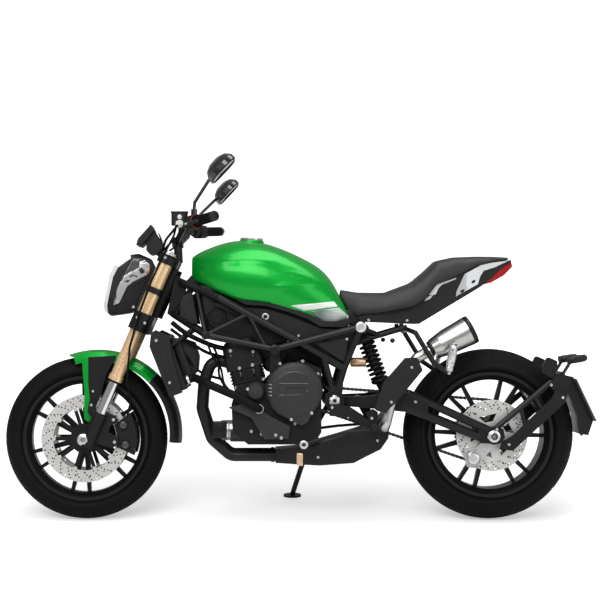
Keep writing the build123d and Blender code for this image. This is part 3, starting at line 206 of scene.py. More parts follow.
# A colour, a roughness and what else differs from a plain surface
FINISHES = {
    "black_satin": ((0.006, 0.006, 0.0065), 0.36, dict(specular=0.3)),
    "black_gloss": ((0.008, 0.008, 0.009), 0.14, dict(coat=0.8, relief=0.01)),
    "black_cast": ((0.006, 0.006, 0.0065), 0.48, dict(relief=0.22, grain=1500.0, specular=0.25)),
    "grey_cast": ((0.026, 0.026, 0.027), 0.48, dict(metallic=0.2, relief=0.25, grain=1400.0, specular=0.35)),
    "black_plastic": ((0.009, 0.009, 0.0095), 0.55, dict(relief=0.18, grain=1800.0, specular=0.28)),
    "gold": ((0.90, 0.62, 0.36), 0.28, dict(metallic=0.6, relief=0.01, grain=300.0, spread=0.03)),
    "chrome": ((0.78, 0.78, 0.78), 0.09, dict(metallic=1.0, relief=0.01)),
    "alloy": ((0.70, 0.70, 0.71), 0.30, dict(metallic=0.75, relief=0.08)),
    "silver_paint": ((0.46, 0.47, 0.48), 0.30, dict(metallic=0.6, coat=0.5, relief=0.02)),
    "disc": ((0.70, 0.69, 0.67), 0.36, dict(metallic=0.65, relief=0.06, spread=0.05)),
    "steel": ((0.42, 0.41, 0.40), 0.32, dict(metallic=1.0, relief=0.10)),
    "brushed": ((0.55, 0.54, 0.52), 0.30, dict(metallic=1.0, relief=0.14, grain=500.0, stretch=(0.04, 1, 1))),
    "pipe": ((0.012, 0.012, 0.0115), 0.38, dict(metallic=0.2, relief=0.06, specular=0.3)),
    "rubber": ((0.0035, 0.0035, 0.0035), 0.66, dict(relief=0.15, grain=700.0, edge=0.0, specular=0.12)),
    "vinyl": ((0.014, 0.014, 0.015), 0.52,
              dict(relief=0.45, grain=620.0, sheen=0.05, edge=0.0, specular=0.4)),
    "red_lens": ((0.34, 0.002, 0.002), 0.30, dict(relief=0.02, grain=90.0, specular=0.15)),
    "dark_lens": ((0.006, 0.007, 0.009), 0.05, dict(coat=1.0, relief=0.0, edge=0.0)),
    "mirror": ((0.75, 0.77, 0.78), 0.03, dict(metallic=1.0, relief=0.0, edge=0.0)),
    "plate": ((0.10, 0.10, 0.105), 0.45, dict(relief=0.05)),
    "white_film": ((0.68, 0.72, 0.69), 0.30, dict(relief=0.02, coat=0.8, edge=0.0)),
    "copper": ((0.50, 0.20, 0.09), 0.35, dict(metallic=0.5, relief=0.03)),
    "grey_gloss": ((0.045, 0.045, 0.048), 0.25, dict(coat=0.6, relief=0.02)),
    "frosted": ((0.60, 0.60, 0.56), 0.35, dict(relief=0.10)),
    "red_metal": ((0.30, 0.012, 0.018), 0.35, dict(metallic=0.7, relief=0.05)),
    "chain_steel": ((0.16, 0.155, 0.15), 0.38, dict(metallic=0.9, relief=0.08)),
}
LOOKS = {name: surface(name, colour, rough, **rest) for name, (colour, rough, rest) in FINISHES.items()}
LOOKS |= {"green": green_paint(), "lens_painted_glint": lens_painted_glint(), "shaded_film": shaded_film()}

NODE_LOOKS = {
    "green": ["fuel_tank", "front_fender"],
    "black_satin": ["front_rim", "rear_rim", "frame_left", "frame_right", "frame_head", "subframe", "swingarm",
                    "plate_arms", "triple_clamps", "handlebar", "side_stand", "stand_bracket",
                    "headlight_bracket", "fender_brackets", "pillion_hangers", "front_axle", "rear_axle"],
    "black_cast": ["crankcase", "cylinders", "cylinder_head", "fork_feet", "front_calipers", "footrests"],
    "grey_cast": ["clutch_cover", "side_covers"],
    "black_plastic": ["radiator_shrouds", "airbox", "tail_cowl", "rear_indicators", "heat_shield",
                      "instrument", "bar_controls", "radiator", "headlight"],
    "black_gloss": ["mirrors"],
    "gold": ["fork_tubes"],
    "chrome": ["fork_sliders"],
    "alloy": ["fuel_cap", "rear_caliper", "rear_shock"],
    "silver_paint": ["tail_panels"],
    "disc": ["front_discs", "rear_disc"],
    "steel": ["rear_sprocket", "chain", "pivot_shaft"],
    "brushed": ["silencer"],
    "pipe": ["exhaust_headers", "exhaust_box"],
    "rubber": ["front_tyre", "rear_tyre", "grips", "coolant_hose", "front_brake_hose"],
    "vinyl": ["seat"],
    "red_lens": ["tail_light"],
    "lens_painted_glint": ["headlight_lens"],
    "plate": ["number_plate"],
}


def dress_nodes():
    """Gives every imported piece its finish."""
    for look, names in NODE_LOOKS.items():
        for name in names:
            materials = frame["nodes"][name].data.materials
            materials.clear()
            materials.append(LOOKS[look])


dress_nodes()


# Pieces and what they are made of

def in_scene(name, data):
    """An object in the scene that shows some data."""
    found = bpy.data.objects.new(name, data)
    bpy.context.scene.collection.objects.link(found)
    return found


def piece(name, verts, faces, look, body="chassis", smooth=True):
    """A mesh given in the bike's own millimetres, riding on a body."""
    mesh = bpy.data.meshes.new(name)
    mesh.from_pydata([BIKE @ (Vector(v) * MM) for v in verts], [], faces)
    mesh.validate()
    mesh.polygons.foreach_set("use_smooth", [smooth] * len(mesh.polygons))
    mesh.materials.append(LOOKS[look])
    found = in_scene(name, mesh)
    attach(found, body)
    return found


def joined(name, parts, look, body="chassis", smooth=True):
    """Several (verts, faces) as one piece."""
    verts, faces = [], []
    for part_verts, part_faces in parts:
        start = len(verts)
        verts += part_verts
        faces += [tuple(start + i for i in f) for f in part_faces]
    return piece(name, verts, faces, look, body, smooth)


def hard(name, parts, look, body="chassis", angle=35.0):
    """Several shapes as one piece that keeps its hard edges."""
    found = joined(name, parts, look, body)
    found.data.set_sharp_from_angle(angle=radians(angle))
    return found


def lattice(rows, closed_rows=False, closed_columns=False):
    """Vertices and quads of a grid of points, given as rows."""
    height, width = len(rows), len(rows[0])
    verts = [p for row in rows for p in row]
    faces = []
    for r in range(height if closed_rows else height - 1):
        for c in range(width if closed_columns else width - 1):
            below, right = (r + 1) % height, (c + 1) % width
            faces.append((r * width + c, r * width + right, below * width + right, below * width + c))
    return verts, faces


def capped(rows):
    """A closed shape from rings of points, with a flat face at both ends."""
    verts, faces = lattice(rows, closed_columns=True)
    count = len(rows[0])
    last = len(verts) - count
    return verts, faces + [tuple(reversed(range(count))), tuple(range(last, last + count))]


def around(count):
    """Even angles round a circle."""
    return [2 * pi * k / count for k in range(count)]


def oval(x, z, wide, tall, count):
    """The flat outline of an oval."""
    return [(x + wide * cos(a), z + tall * sin(a)) for a in around(count)]


def soft_ring(up, half, tall, power, count):
    """A ring about nought, between an oval and a rectangle."""
    return [SIDEWAYS * (half * copysign(abs(cos(a)) ** power, cos(a)))
            + up * (tall * copysign(abs(sin(a)) ** power, sin(a))) for a in around(count)]


def stacked(centre, ring, way, sizes):
    """One ring at several (scale, height) pairs along a way."""
    return [[centre + p * scale + way * height for p in ring] for scale, height in sizes]


# Tyres

TYRE_STEPS = 1080
CROWN_STEPS = 44
WALL_STEPS = 15
WALL_RIBS = (2, 3, 9, 11)
NO_TREAD = 2.0
TREAD_DEPTH = 3.4
GROOVE_PITCHES = 26
GROOVES = (0.10, 0.80)


def groove_depth(turn, across):
    """How deep the tread is cut at a turn (0 to 1 round the tyre) and a place across it (-1 to 1)."""
    reach = abs(across)
    if not GROOVES[0] < reach < GROOVES[1]:
        return 0.0
    sweep = 0.55 * (reach - GROOVES[0]) ** 1.25
    shift = 0.0 if across >= 0 else 0.5
    place = (turn * GROOVE_PITCHES + shift - sweep * 1.6) % 1.0
    distance = abs(place - 0.5) / (0.055 + 0.02 * sin(reach * 7))
    return TREAD_DEPTH * max(0.0, min(1.0, 2.2 * (1.0 - distance))) * min(1.0, (GROOVES[1] - reach) * 12)


def tyre(name, axle, radius, half, rim_half, lip, node, body):
    """A tyre with a rounded crown, a cut tread and ribbed side walls."""
    shoulder_y = half * 0.90
    drop = half * 0.62
    crown = (shoulder_y**2 + drop**2) / (2 * drop)
    edge = asin(shoulder_y / crown)
    section = []
    for k in range(CROWN_STEPS + 1):
        a = -edge + 2 * edge * k / CROWN_STEPS
        section.append((crown * sin(a), radius - crown + crown * cos(a), crown * sin(a) / half))
    start_y, start_z, _ = section[-1]
    bead_y, bead_z = rim_half - 5.0, lip + 1.0
    wall = []
    for k in range(1, WALL_STEPS):
        t = k / WALL_STEPS
        y = (1 - t) ** 2 * start_y + 2 * t * (1 - t) * (half * 1.10) + t * t * bead_y
        z = (1 - t) ** 2 * start_z + 2 * t * (1 - t) * (start_z * 0.42 + bead_z * 0.58) + t * t * bead_z
        wall.append((min(y, half), z + (0.5 if k in WALL_RIBS else 0.0), NO_TREAD))
    wall += [(bead_y, bead_z, NO_TREAD), (bead_y - 2, bead_z - 9, NO_TREAD)]
    profile = [(-y, z, NO_TREAD) for y, z, _ in reversed(wall)] + section + wall
    rows = []
    for step, angle in enumerate(around(TYRE_STEPS)):
        row = []
        for y, reach, across in profile:
            r = reach - groove_depth(step / TYRE_STEPS, across)
            row.append((axle[0] + r * cos(angle), y, axle[1] + r * sin(angle)))
        rows.append(row)
    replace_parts(piece(name, *lattice(rows, closed_rows=True), "rubber", body), node)


tyre("front_tyre_tread", FRONT_AXLE, 300.0, 60.0, 48.0, 231.0, "front_tyre", "front_wheel")
tyre("rear_tyre_tread", REAR_AXLE, 315.0, 88.0, 73.0, 231.0, "rear_tyre", "rear_wheel")


# Seen surfaces, thin skins, tubes and turned shapes

FAR_OUT = 700.0
NEAREST_BOLT = 20.0


@cache
def surface_of(*names):
    """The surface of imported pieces, in the bike's own millimetres."""
    verts, faces = [], []
    for name in names:
        node = frame["nodes"][name]
        place = BACK @ node.matrix_world
        start = len(verts)
        verts += [(place @ v.co) / MM for v in node.data.vertices]
        faces += [tuple(start + i for i in p.vertices) for p in node.data.polygons]
    return BVHTree.FromPolygons(verts, faces)


def seen(surface, x, z, side):
    """Where the surface is first met from one side, or nothing."""
    return surface.ray_cast(Vector((x, side * FAR_OUT, z)), SIDEWAYS * -side)[0]


def side_reach(surface, x, z, side):
    """How far out to one side the surface lies, seen from that side."""
    hit = seen(surface, x, z, side) or surface.find_nearest(Vector((x, side * 150.0, z)))[0]
    return hit.y


def is_inside(outline, point):
    """Whether a flat point lies inside a closed outline."""
    found = False
    for k, (x1, z1) in enumerate(outline):
        x2, z2 = outline[k - 1]
        if (z1 > point[1]) != (z2 > point[1]):
            if point[0] < (x2 - x1) * (point[1] - z1) / (z2 - z1) + x1:
                found = not found
    return found


def divided(outline, step):
    """A closed outline with more points along its edges."""
    found = []
    for k, first in enumerate(outline):
        second = outline[(k + 1) % len(outline)]
        count = max(1, round(dist(first, second) / step))
        for i in range(count):
            t = i / count
            found.append((first[0] + t * (second[0] - first[0]), first[1] + t * (second[1] - first[1])))
    return found


def filled(outline, step):
    """Even triangles inside a closed outline."""
    edge = divided(outline, step)
    xs, zs = zip(*edge)
    grid = []
    for row in range(int((max(zs) - min(zs)) / step) + 1):
        for column in range(int((max(xs) - min(xs)) / step) + 1):
            point = (min(xs) + (column + 0.5 * (row % 2)) * step, min(zs) + row * step)
            if is_inside(outline, point) and min(dist(point, e) for e in edge) > 0.45 * step:
                grid.append(point)
    result = delaunay_2d_cdt([Vector(p) for p in edge + grid], [], [list(range(len(edge)))], 1, 1e-4)
    return result[0], result[2]


def skin(outline, surface, side, lift=0.5, step=5.0):
    """A thin closed skin that lies on a surface and fills an outline seen from one side."""
    flat, faces = filled(outline, step)
    outer, inner = [], []
    for x, z in flat:
        y = side_reach(surface, x, z, side)
        outer.append((x, y + side * lift, z))
        inner.append((x, y - side * 0.8, z))
    if side > 0:
        faces = [tuple(reversed(f)) for f in faces]
    used = {(f[k], f[(k + 1) % len(f)]) for f in faces for k in range(len(f))}
    count = len(flat)
    walls = [(b, a, a + count, b + count) for a, b in used if (b, a) not in used]
    return outer + inner, [tuple(f) for f in faces] + walls


def tube(points, radius, sides=12, closed=False):
    """A round tube along a line of points, with flat ends."""
    line = [Vector(p) for p in points]
    count = len(line)
    rows = []
    normal = None
    for k, here in enumerate(line):
        before = line[k - 1] if k or closed else here
        after = line[(k + 1) % count] if k < count - 1 or closed else here
        way = (after - before).normalized()
        if normal is None:
            normal = way.orthogonal().normalized()
        normal = (normal - way * normal.dot(way)).normalized()
        other = way.cross(normal)
        rows.append([here + (normal * cos(a) + other * sin(a)) * radius for a in around(sides)])
    return lattice(rows, True, True) if closed else capped(rows)


def smooth_line(points, per_span=6):
    """A smooth line through given points."""
    line = [Vector(p) for p in points]
    found = []
    for k in range(len(line) - 1):
        a = line[max(k - 1, 0)]
        b, c = line[k], line[k + 1]
        d = line[min(k + 2, len(line) - 1)]
        for i in range(per_span):
            t = i / per_span
            found.append(0.5 * (2 * b + (c - a) * t + (2 * a - 5 * b + 4 * c - d) * t**2
                                + (3 * b - a - 3 * c + d) * t**3))
    return found + [line[-1]]


def spun(profile, origin, axis, sides=24):
    """A shape turned about an axis, from (radius, height) points; a radius below nought makes six flats."""
    way = Vector(axis).normalized()
    normal = way.orthogonal().normalized()
    other = way.cross(normal)
    rows = []
    for radius, height in profile:
        row = []
        for a in around(sides):
            reach = radius if radius > 0 else -radius / cos(a % (pi / 3) - pi / 6)
            row.append(Vector(origin) + way * height + (normal * cos(a) + other * sin(a)) * reach)
        rows.append(row)
    return capped(rows)


def spun_on(surface, side, place, profile, sides):
    """A turned shape that sits on a surface at an (x, z) place, seen from one side."""
    y = side_reach(surface, *place, side)
    return spun(profile, (place[0], y, place[1]), (0, side, 0), sides)


def socket_bolt(origin, axis, radius):
    """A cap bolt with a hexagonal socket."""
    top = radius * 1.1
    well = top * 0.45
    return spun([(radius, -2.0), (radius, top * 0.82), (radius * 0.86, top), (-radius * 0.50, top),
                 (-radius * 0.48, well), (0.2, well)], origin, axis, 12)


def bolts_on(places, surface, radius, sides=SIDES):
    """Bolts that sit on a surface at (x, z) places, seen from the sides, where a side has one."""
    found = []
    for side in sides:
        for x, z in places:
            hit = seen(surface, x, z, side)
            if hit is not None and hit.y * side > NEAREST_BOLT:
                found.append(socket_bolt((x, hit.y, z), (0, side, 0), radius))
    return found


def films(name, look, nodes, outlines, lift=0.5, step=5.0, sides=SIDES, body="chassis"):
    """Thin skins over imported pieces, as one piece."""
    under = surface_of(*nodes)
    return joined(name, [skin(line, under, s, lift, step) for line in outlines for s in sides], look, body)


def on_side(point, side):
    """A point of the far side, or its twin on the near side."""
    return Vector((point[0], side * point[1], point[2]))


# Tank

STRIPE = [(754, 788), (913, 803), (928, 785), (802, 769)]
PATCH = [(823, 767), (932, 781), (966, 751), (966, 736), (878, 727), (862, 736)]
TANK_X = (392.6, 965.4)
TANK_ROWS = 150
TANK_COLUMNS = 160
CREASES = (
    ((426, 944), (539, 954), (640, 955), (710, 949)),
    ((687, 908), (760, 904), (805, 894), (860, 872)),
    ((659, 848), (720, 856), (790, 865), (860, 872)),
)
CREASE_RISE = 2.6
CREASE_WIDTH = 9.0


def crease_lift(x, z):
    """How far the pressed creases stand out of the tank's side at a place seen from the side."""
    lift = 0.0
    for line in CREASES:
        nearest, along = 1e9, 0.0
        for k in range(len(line) - 1):
            a, b = Vector(line[k]), Vector(line[k + 1])
            t = max(0.0, min(1.0, (Vector((x, z)) - a).dot(b - a) / (b - a).length_squared))
            gap = (Vector((x, z)) - a.lerp(b, t)).length
            if gap < nearest:
                nearest, along = gap, (k + t) / (len(line) - 1)
        fade = min(1.0, 3.2 * along, 3.2 * (1.0 - along) + 0.25)
        lift += CREASE_RISE * fade * exp(-(nearest / CREASE_WIDTH) ** 2)
    return lift


def tank_body():
    """The tank's own form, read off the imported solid, with its pressed creases."""
    solid = surface_of("fuel_tank")
    rows = []
    for r in range(TANK_ROWS + 1):
        x = TANK_X[0] + (TANK_X[1] - TANK_X[0]) * r / TANK_ROWS
        top = solid.ray_cast(Vector((x, 0.3, 1400.0)), Vector((0.0, 0.0, -1.0)))[0].z
        low = solid.ray_cast(Vector((x, 0.3, 300.0)), Vector((0.0, 0.0, 1.0)))[0].z
        centre = Vector((x, 0.0, low + 0.42 * (top - low)))
        row = []
        for c in range(TANK_COLUMNS):
            angle = 2 * pi * (c + 0.5) / TANK_COLUMNS
            row.append(solid.ray_cast(centre, Vector((0.0, cos(angle), sin(angle))))[0])
        rows.append(row)
    for _ in range(3):
        inner = [[0.25 * a + 0.5 * b + 0.25 * c for a, b, c in zip(*rows[r - 1:r + 2])]
                 for r in range(1, TANK_ROWS)]
        rows = [rows[0]] + inner + [rows[-1]]
    for row in rows:
        for p in row:
            p.y += copysign(crease_lift(p.x, p.z), p.y) * min(1.0, abs(p.y) / 60)
    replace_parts(hard("tank_body", [capped(rows)], "green", angle=50.0), "fuel_tank")


def tank_details():
    """The filler's collar, and a white stripe over a shaded grey patch; numerals and badge are left out."""
    collar = spun([(47, -14), (46, -4), (43, -1.6), (40, -1.0), (37, -1.2), (30, -8)], (612, 0, 1034),
                  (sin(radians(2)), 0, cos(radians(2))), 48)
    joined("cap_collar", [collar], "green")
    films("tank_stripe", "white_film", ["fuel_tank"], [STRIPE], step=6.0)
    films("tank_patch", "shaded_film", ["fuel_tank"], [PATCH], step=6.0)


# Lamp

TRIM = [(106, 791), (129, 797), (144, 829), (157, 858), (178, 875), (212, 892), (237, 905), (241, 938),
        (220, 958), (203, 953), (199, 930), (169, 913), (142, 896), (123, 854), (114, 820)]
TRIM_CUTS = [
    [(146, 875), (157, 883), (169, 883), (161, 873)],
    [(165, 896), (178, 904), (196, 897), (193, 892), (180, 898), (170, 891)],
    [(199, 921), (208, 931), (222, 917), (218, 908), (207, 906)],
]
LAMP_PANEL = [(178, 964), (222, 964), (203, 955), (198, 932), (146, 900), (157, 921)]


def lamp_trim():
    """The lamp's side trim with its three dark windows, and the grey panel above it."""
    shell = ["headlight"]
    films("lamp_trim", "silver_paint", shell, [TRIM], 0.6, body="steering")
    films("lamp_trim_windows", "black_gloss", shell, TRIM_CUTS, 1.0, 4.0, body="steering")
    films("lamp_panel", "grey_gloss", shell, [LAMP_PANEL], body="steering")
    films("lamp_reflectors", "copper", shell, [oval(233, 912, 6, 8, 16)], 1.2, 3.0, body="steering")
    hard("lamp_bolts", bolts_on([(180, 784)], surface_of("headlight"), 5.5), "alloy", "steering")


# Engine and frame

ENGINE_BOLTS = [(599, 487), (557, 490), (655, 521), (716, 578), (853, 541), (798, 587), (612, 333), (649, 323),
                (700, 322), (720, 312), (756, 378), (770, 361), (829, 401)]
HEAD_BOLTS = [(536, 624), (618, 621), (569, 561), (616, 573)]
HEAD_SLOTS = [((536, 616), (541, 589)), ((618, 613), (620, 600)), ((570, 553), (577, 522)),
              ((617, 565), (624, 531))]
COVER_RIM_BOLTS = 10
COVER_CENTRE = (735, 460)
COVER_RIM = 84


def engine_bolts():
    """Cap bolts over the cases and the cylinder head, and round both side covers."""
    cases = surface_of("crankcase", "cylinders", "cylinder_head", "clutch_cover", "side_covers")
    parts = bolts_on(ENGINE_BOLTS, cases, 6.0, (-1,)) + bolts_on(ENGINE_BOLTS[:4], cases, 6.0, (1,))
    parts += bolts_on(HEAD_BOLTS, cases, 6.5)
    turns = [2 * pi * (k + 0.4) / COVER_RIM_BOLTS for k in range(COVER_RIM_BOLTS)]
    rim = [(COVER_CENTRE[0] + COVER_RIM * cos(a), COVER_CENTRE[1] + COVER_RIM * sin(a)) for a in turns]
    hard("engine_bolts", parts + bolts_on(rim, cases, 5.0, (1,)), "alloy")
    slots = []
    for side in SIDES:
        for top, foot in HEAD_SLOTS:
            y = side_reach(cases, *top, side) + side * 0.5
            slots.append(tube([(top[0], y, top[1]), (foot[0], y, foot[1])], 5.0, 10))
    joined("head_slots", slots, "black_gloss")


def clutch_details():
    """The raised arc over the clutch cover's recess, the recess's border and the notches beside it."""
    cover = surface_of("clutch_cover")
    turns = [pi * (0.04 + 0.92 * k / 18) for k in range(19)]
    outer = [(765 + 57 * cos(a), 516 + 34 * sin(a)) for a in turns]
    inner = [(765 + 54.5 * cos(a), 516 + 31.5 * sin(a)) for a in turns]
    marks = [skin(outer + inner[::-1], cover, -1, 0.6, 3.0)]
    outer = [(709, 509), (820, 509), (820, 482), (789, 464), (709, 464)]
    inner = [(712, 506), (817, 506), (817, 483), (787, 467), (712, 467)]
    for k in range(len(outer)):
        marks.append(skin([outer[k - 1], outer[k], inner[k], inner[k - 1]], cover, -1, 0.6, 4.0))
    joined("clutch_marks", marks, "black_gloss")
    notches = [[(671, z), (686, z), (686, z - 3), (671, z - 3)] for z in (505, 492, 479, 466)]
    films("clutch_notches", "steel", ["clutch_cover"], notches, 1.0, 4.0, (-1,))


FRAME_BOLTS = [(958, 667), (421, 868), (784, 679)]
PLATE_BOLTS = [(903, 421), (1046, 382)]
PIVOT = (913.0, 444.0)
PIVOT_STUD = [(3.6, 1), (3.6, 5), (0.2, 5.2)]
BRIGHT_NUTS = [
    ((1007, 710), [(19, -4), (19, 2), (17, 3.4), (12.5, 3.6), (11.5, 1.5), (6, 1.2), (0.2, 1.2)], 32),
    (PIVOT, [(20, -6), (20, 3), (18.5, 4.2), (-15, 4.4), (-15, 11), (13, 12.5), (7, 12.5), (6.4, 5), (0.2, 5)],
     24),
]
DARK_NUTS = [
    (PIVOT, [(8.0, 0), (8.0, 7), (7, 7.4), (0.2, 7.4)], 20),
    ((697, 629), [(18, -4), (18, 3), (15, 5), (-9, 5.2), (-9, 9), (0.2, 9)], 24),
    ((447, 681), [(13, -4), (13, 3), (11, 4.4), (-7, 4.6), (-7, 8), (0.2, 8)], 24),
]


def frame_fittings():
    """The bolts where the tubes meet, the pivot's hollow nut, a ring on the rail and the tube ends."""
    bright, dark = [], []
    for side, tubes in zip(SIDES, ("frame_left", "frame_right")):
        under = surface_of(tubes, "airbox", "pivot_shaft", "footrests", "radiator_shrouds")
        bright += [spun_on(under, side, *nut) for nut in BRIGHT_NUTS]
        dark += [spun_on(under, side, *nut) for nut in DARK_NUTS]
        y = side_reach(under, *PIVOT, side)
        dark += [spun(PIVOT_STUD, (x, y, z), (0, side, 0), 12) for x, z in oval(*PIVOT, 20, 20, 6)]
        bright += bolts_on(FRAME_BOLTS, under, 5.0, (side,))
        bright += bolts_on(PLATE_BOLTS, under, 5.5, (side,))
        bright.append(tube([(x, side * 146, z) for x, z in oval(663, 748, 10, 10, 24)], 3.2, 8, True))
    hard("frame_nuts", bright, "alloy")
    hard("frame_bosses", dark, "black_satin")


AXLE_NUT = [(8.2, -6), (22, -3), (22, 2), (20.5, 3), (-15, 3.2), (-15, 9), (13.2, 10), (8.6, 10), (8.6, -3)]


def axle_nuts():
    """Hollow axle nuts on both wheels."""
    for name, (x, z), reach, body in (("front_axle_nuts", FRONT_AXLE, 118.5, "steering"),
                                      ("rear_axle_nuts", REAR_AXLE, 156.5, "chassis")):
        nuts = [spun(AXLE_NUT, (x, side * reach, z), (0, side, 0), 24) for side in SIDES]
        hard(name, nuts, "alloy", body)


# Front end

RAKE = radians(23.5)
ALONG = Vector((sin(RAKE), 0.0, cos(RAKE)))
ACROSS = Vector((cos(RAKE), 0.0, -sin(RAKE)))
FORK_Y = 102.0
FORK_BACK = 18.0
FORK_CAPS = [
    (748, [(24.5, -3), (24.5, 2), (23, 3.4), (-13, 3.6), (-13, 8), (8, 9), (4, 9), (3.6, 6), (0.2, 6)], 24),
    (742, [(29.4, -1), (29.0, 1), (26, 2.4), (20, 2.6)], 40),
]
FORK_SEALS = [
    (243, [(20.2, -8), (24.6, -7.5), (25.4, -2), (25.4, 10), (24.6, 16)], 32),
    (742, [(27.6, -22), (31, -21), (31, -2), (29, 0)], 40),
]
FORK_BOLTS = [
    ("triple_clamps", 5.5, [(198, 745), (210, 772), (225, 725), (300, 962)]),
    ("fender_brackets", 4.6, [(13, 425), (31, 475)]),
    ("fork_feet", 6.0, [(108, 372), (112, 290)]),
    ("fork_feet", 5.0, [(26, 425)]),
]


def leg_rings(rings):
    """Turned shapes about both fork legs, at heights above the axle's level."""
    found = []
    for side in SIDES:
        foot = Vector((0.0, side * FORK_Y, FRONT_AXLE[1])) + ACROSS * FORK_BACK
        found += [spun(profile, foot + ALONG * along, ALONG, sides) for along, profile, sides in rings]
    return found


def fork_fittings():
    """Fork caps with their adjusters, dust seals, and the bolts of clamps, feet and fender strips."""
    bright = leg_rings(FORK_CAPS)
    for node, radius, places in FORK_BOLTS:
        bright += bolts_on(places, surface_of(node), radius)
    hard("fork_bolts", bright, "alloy", "steering")
    hard("fork_seals", leg_rings(FORK_SEALS), "rubber", "steering")


# A thin dark dot that stands for a blind hole: painted shade inside it.
HOLE_SHADE = [(2.7, -0.2), (2.7, 0.15), (0.2, 0.2)]
HOLE_SHADES = [
    ("front_disc_hole_shade", "front_discs", FRONT_AXLE, SIDES, (123, 133, 143, 152), 24, "front_wheel"),
    ("rear_disc_hole_shade", "rear_disc", REAR_AXLE, (-1,), (98, 106, 114, 122), 20, "rear_wheel"),
]
INNERMOST_DISC = 60


def disc_hole_shade():
    """Painted shade in the small blind holes between the drilled ones, on all three discs: a thin dark dot for
    each.
    """
    for name, node, axle, sides, radii, count, body in HOLE_SHADES:
        disc = surface_of(node)
        holes = []
        for side in sides:
            for k in range(count):
                for row, radius in enumerate(radii):
                    a = 2 * pi * (k + 0.21 * row) / count
                    x, z = axle[0] + radius * cos(a), axle[1] + radius * sin(a)
                    if abs(side_reach(disc, x, z, side)) >= INNERMOST_DISC:
                        holes.append(spun_on(disc, side, (x, z), HOLE_SHADE, 10))
        joined(name, holes, "black_satin", body)


CALIPER_CAP = [(12, -2), (12, 1), (10.5, 2), (7, 2), (6.5, 0.6), (0.2, 0.6)]
REAR_CALIPER = [(1388, 260), (1402, 203), (1437, 199), (1449, 235), (1429, 266)]
REAR_CALIPER_BOLTS = [(1398, 250), (1408, 210), (1438, 212), (1433, 258), (1466, 262)]


def caliper_details():
    """Piston caps and bolts on all three calipers, and the rear one's darker body."""
    block = surface_of("front_calipers")
    caps = bolts_on([(183, 262), (178, 372)], block, 4.0)
    for side in SIDES:
        for a in (radians(-8.0), radians(20.0)):
            caps.append(spun_on(block, side, (152 * cos(a), 300 + 152 * sin(a)), CALIPER_CAP, 24))
    hard("caliper_caps", caps, "grey_gloss", "steering")
    films("rear_caliper_body", "steel", ["rear_caliper"], [REAR_CALIPER], 0.8, sides=(-1,))
    cap = spun([(19, -1), (19, 1.4), (14, 2.8), (9, 2.8), (8, 1), (0.2, 1)], (1419, -134, 232), (0, -1, 0), 32)
    bolts = bolts_on(REAR_CALIPER_BOLTS, surface_of("rear_caliper"), 4.6, (-1,))
    hard("rear_caliper_cap", [cap] + bolts, "alloy")


BRAKE_HOSE = [(352, -292, 1068), (330, -262, 1044), (306, -190, 1024), (292, -112, 1002), (280, -58, 982)]
BAR_WIRE = [(372, 196, 1060), (344, 176, 1030), (312, 128, 1010), (292, 84, 990), (276, 48, 968)]
RESERVOIR_WINDOW = [(345, 1086), (358, 1091), (370, 1086), (370, 1069), (350, 1064), (343, 1072)]
BAR_INNER = (372.0, 190.0, 1076.0)
BAR_OUTER = (480.0, 395.0, 1092.0)
GRIP_LENGTH = 125.2
GRIP_COLLAR = [(24.2, 0), (25.2, 0.8), (25.2, 3.2), (24.2, 4.0)]
BAR_END = [(10, 4), (17.2, 3), (18.2, 0), (18.2, -6), (16, -9), (-8, -9.2), (-7.6, -5), (0.2, -5)]


def bar_details():
    """The pale window of the fluid reservoir, the red collar and button, and the bar ends."""
    controls = ["bar_controls"]
    films("reservoir_window", "frosted", controls, [RESERVOIR_WINDOW], 0.8, 3.0, (-1,), "steering")
    rounds = [oval(x, z, radius, radius, 20) for x, z, radius in ((358, 1101, 8.5), (381, 1074, 5.5))]
    films("reservoir_fittings", "alloy", controls, rounds, 1.2, 3.0, (-1,), "steering")
    button = spun([(7.5, -4), (7.5, 5), (6, 7), (0.2, 7.5)], (424, 262, 1095), (0.7, 0, 0.7), 20)
    joined("stop_button", [button], "red_metal", "steering")
    hoses = [tube(smooth_line(BRAKE_HOSE), 4.6, 10)]
    hoses += [tube(smooth_line([on_side(p, side) for p in BAR_WIRE]), 4.0, 10) for side in SIDES]
    joined("bar_hoses", hoses, "rubber", "steering")
    starts = [on_side(BAR_OUTER, side) for side in SIDES]
    ways = [(on_side(BAR_INNER, side) - start).normalized() for side, start in zip(SIDES, starts)]
    collar = spun(GRIP_COLLAR, starts[0] + ways[0] * GRIP_LENGTH, ways[0], 32)
    joined("grip_collars", [collar], "red_metal", "steering")
    looks = (("bar_end_near", "black_satin"), ("bar_end_far", "steel"))
    for start, way, (name, look) in zip(starts, ways, looks):
        hard(name, [spun(BAR_END, start - way * 9.0, way, 24)], look, "steering")


def instrument_face():
    """The dark display that faces the rider, in its narrow rim."""
    way = Vector((0.93, 0.0, 0.36)).normalized()
    up = Vector((-0.36, 0.0, 0.93)).normalized()
    middle = Vector((275.5, 0.0, 1036.0))
    for name, look, half, tall, low, high in (("display_rim", "black_plastic", 60, 24, -0.2, 1.6),
                                              ("display_glass", "dark_lens", 54, 19, 1.4, 2.2)):
        ring = soft_ring(up, half, tall, 0.4, 32)
        joined(name, [capped(stacked(middle, ring, way, [(1.0, low), (1.0, high)]))], look, "steering")


MIRROR_HEAD = (509.0, 430.0, 1255.0)
MIRROR_WAY = Vector((-0.729, 0.0, 0.684)).normalized()


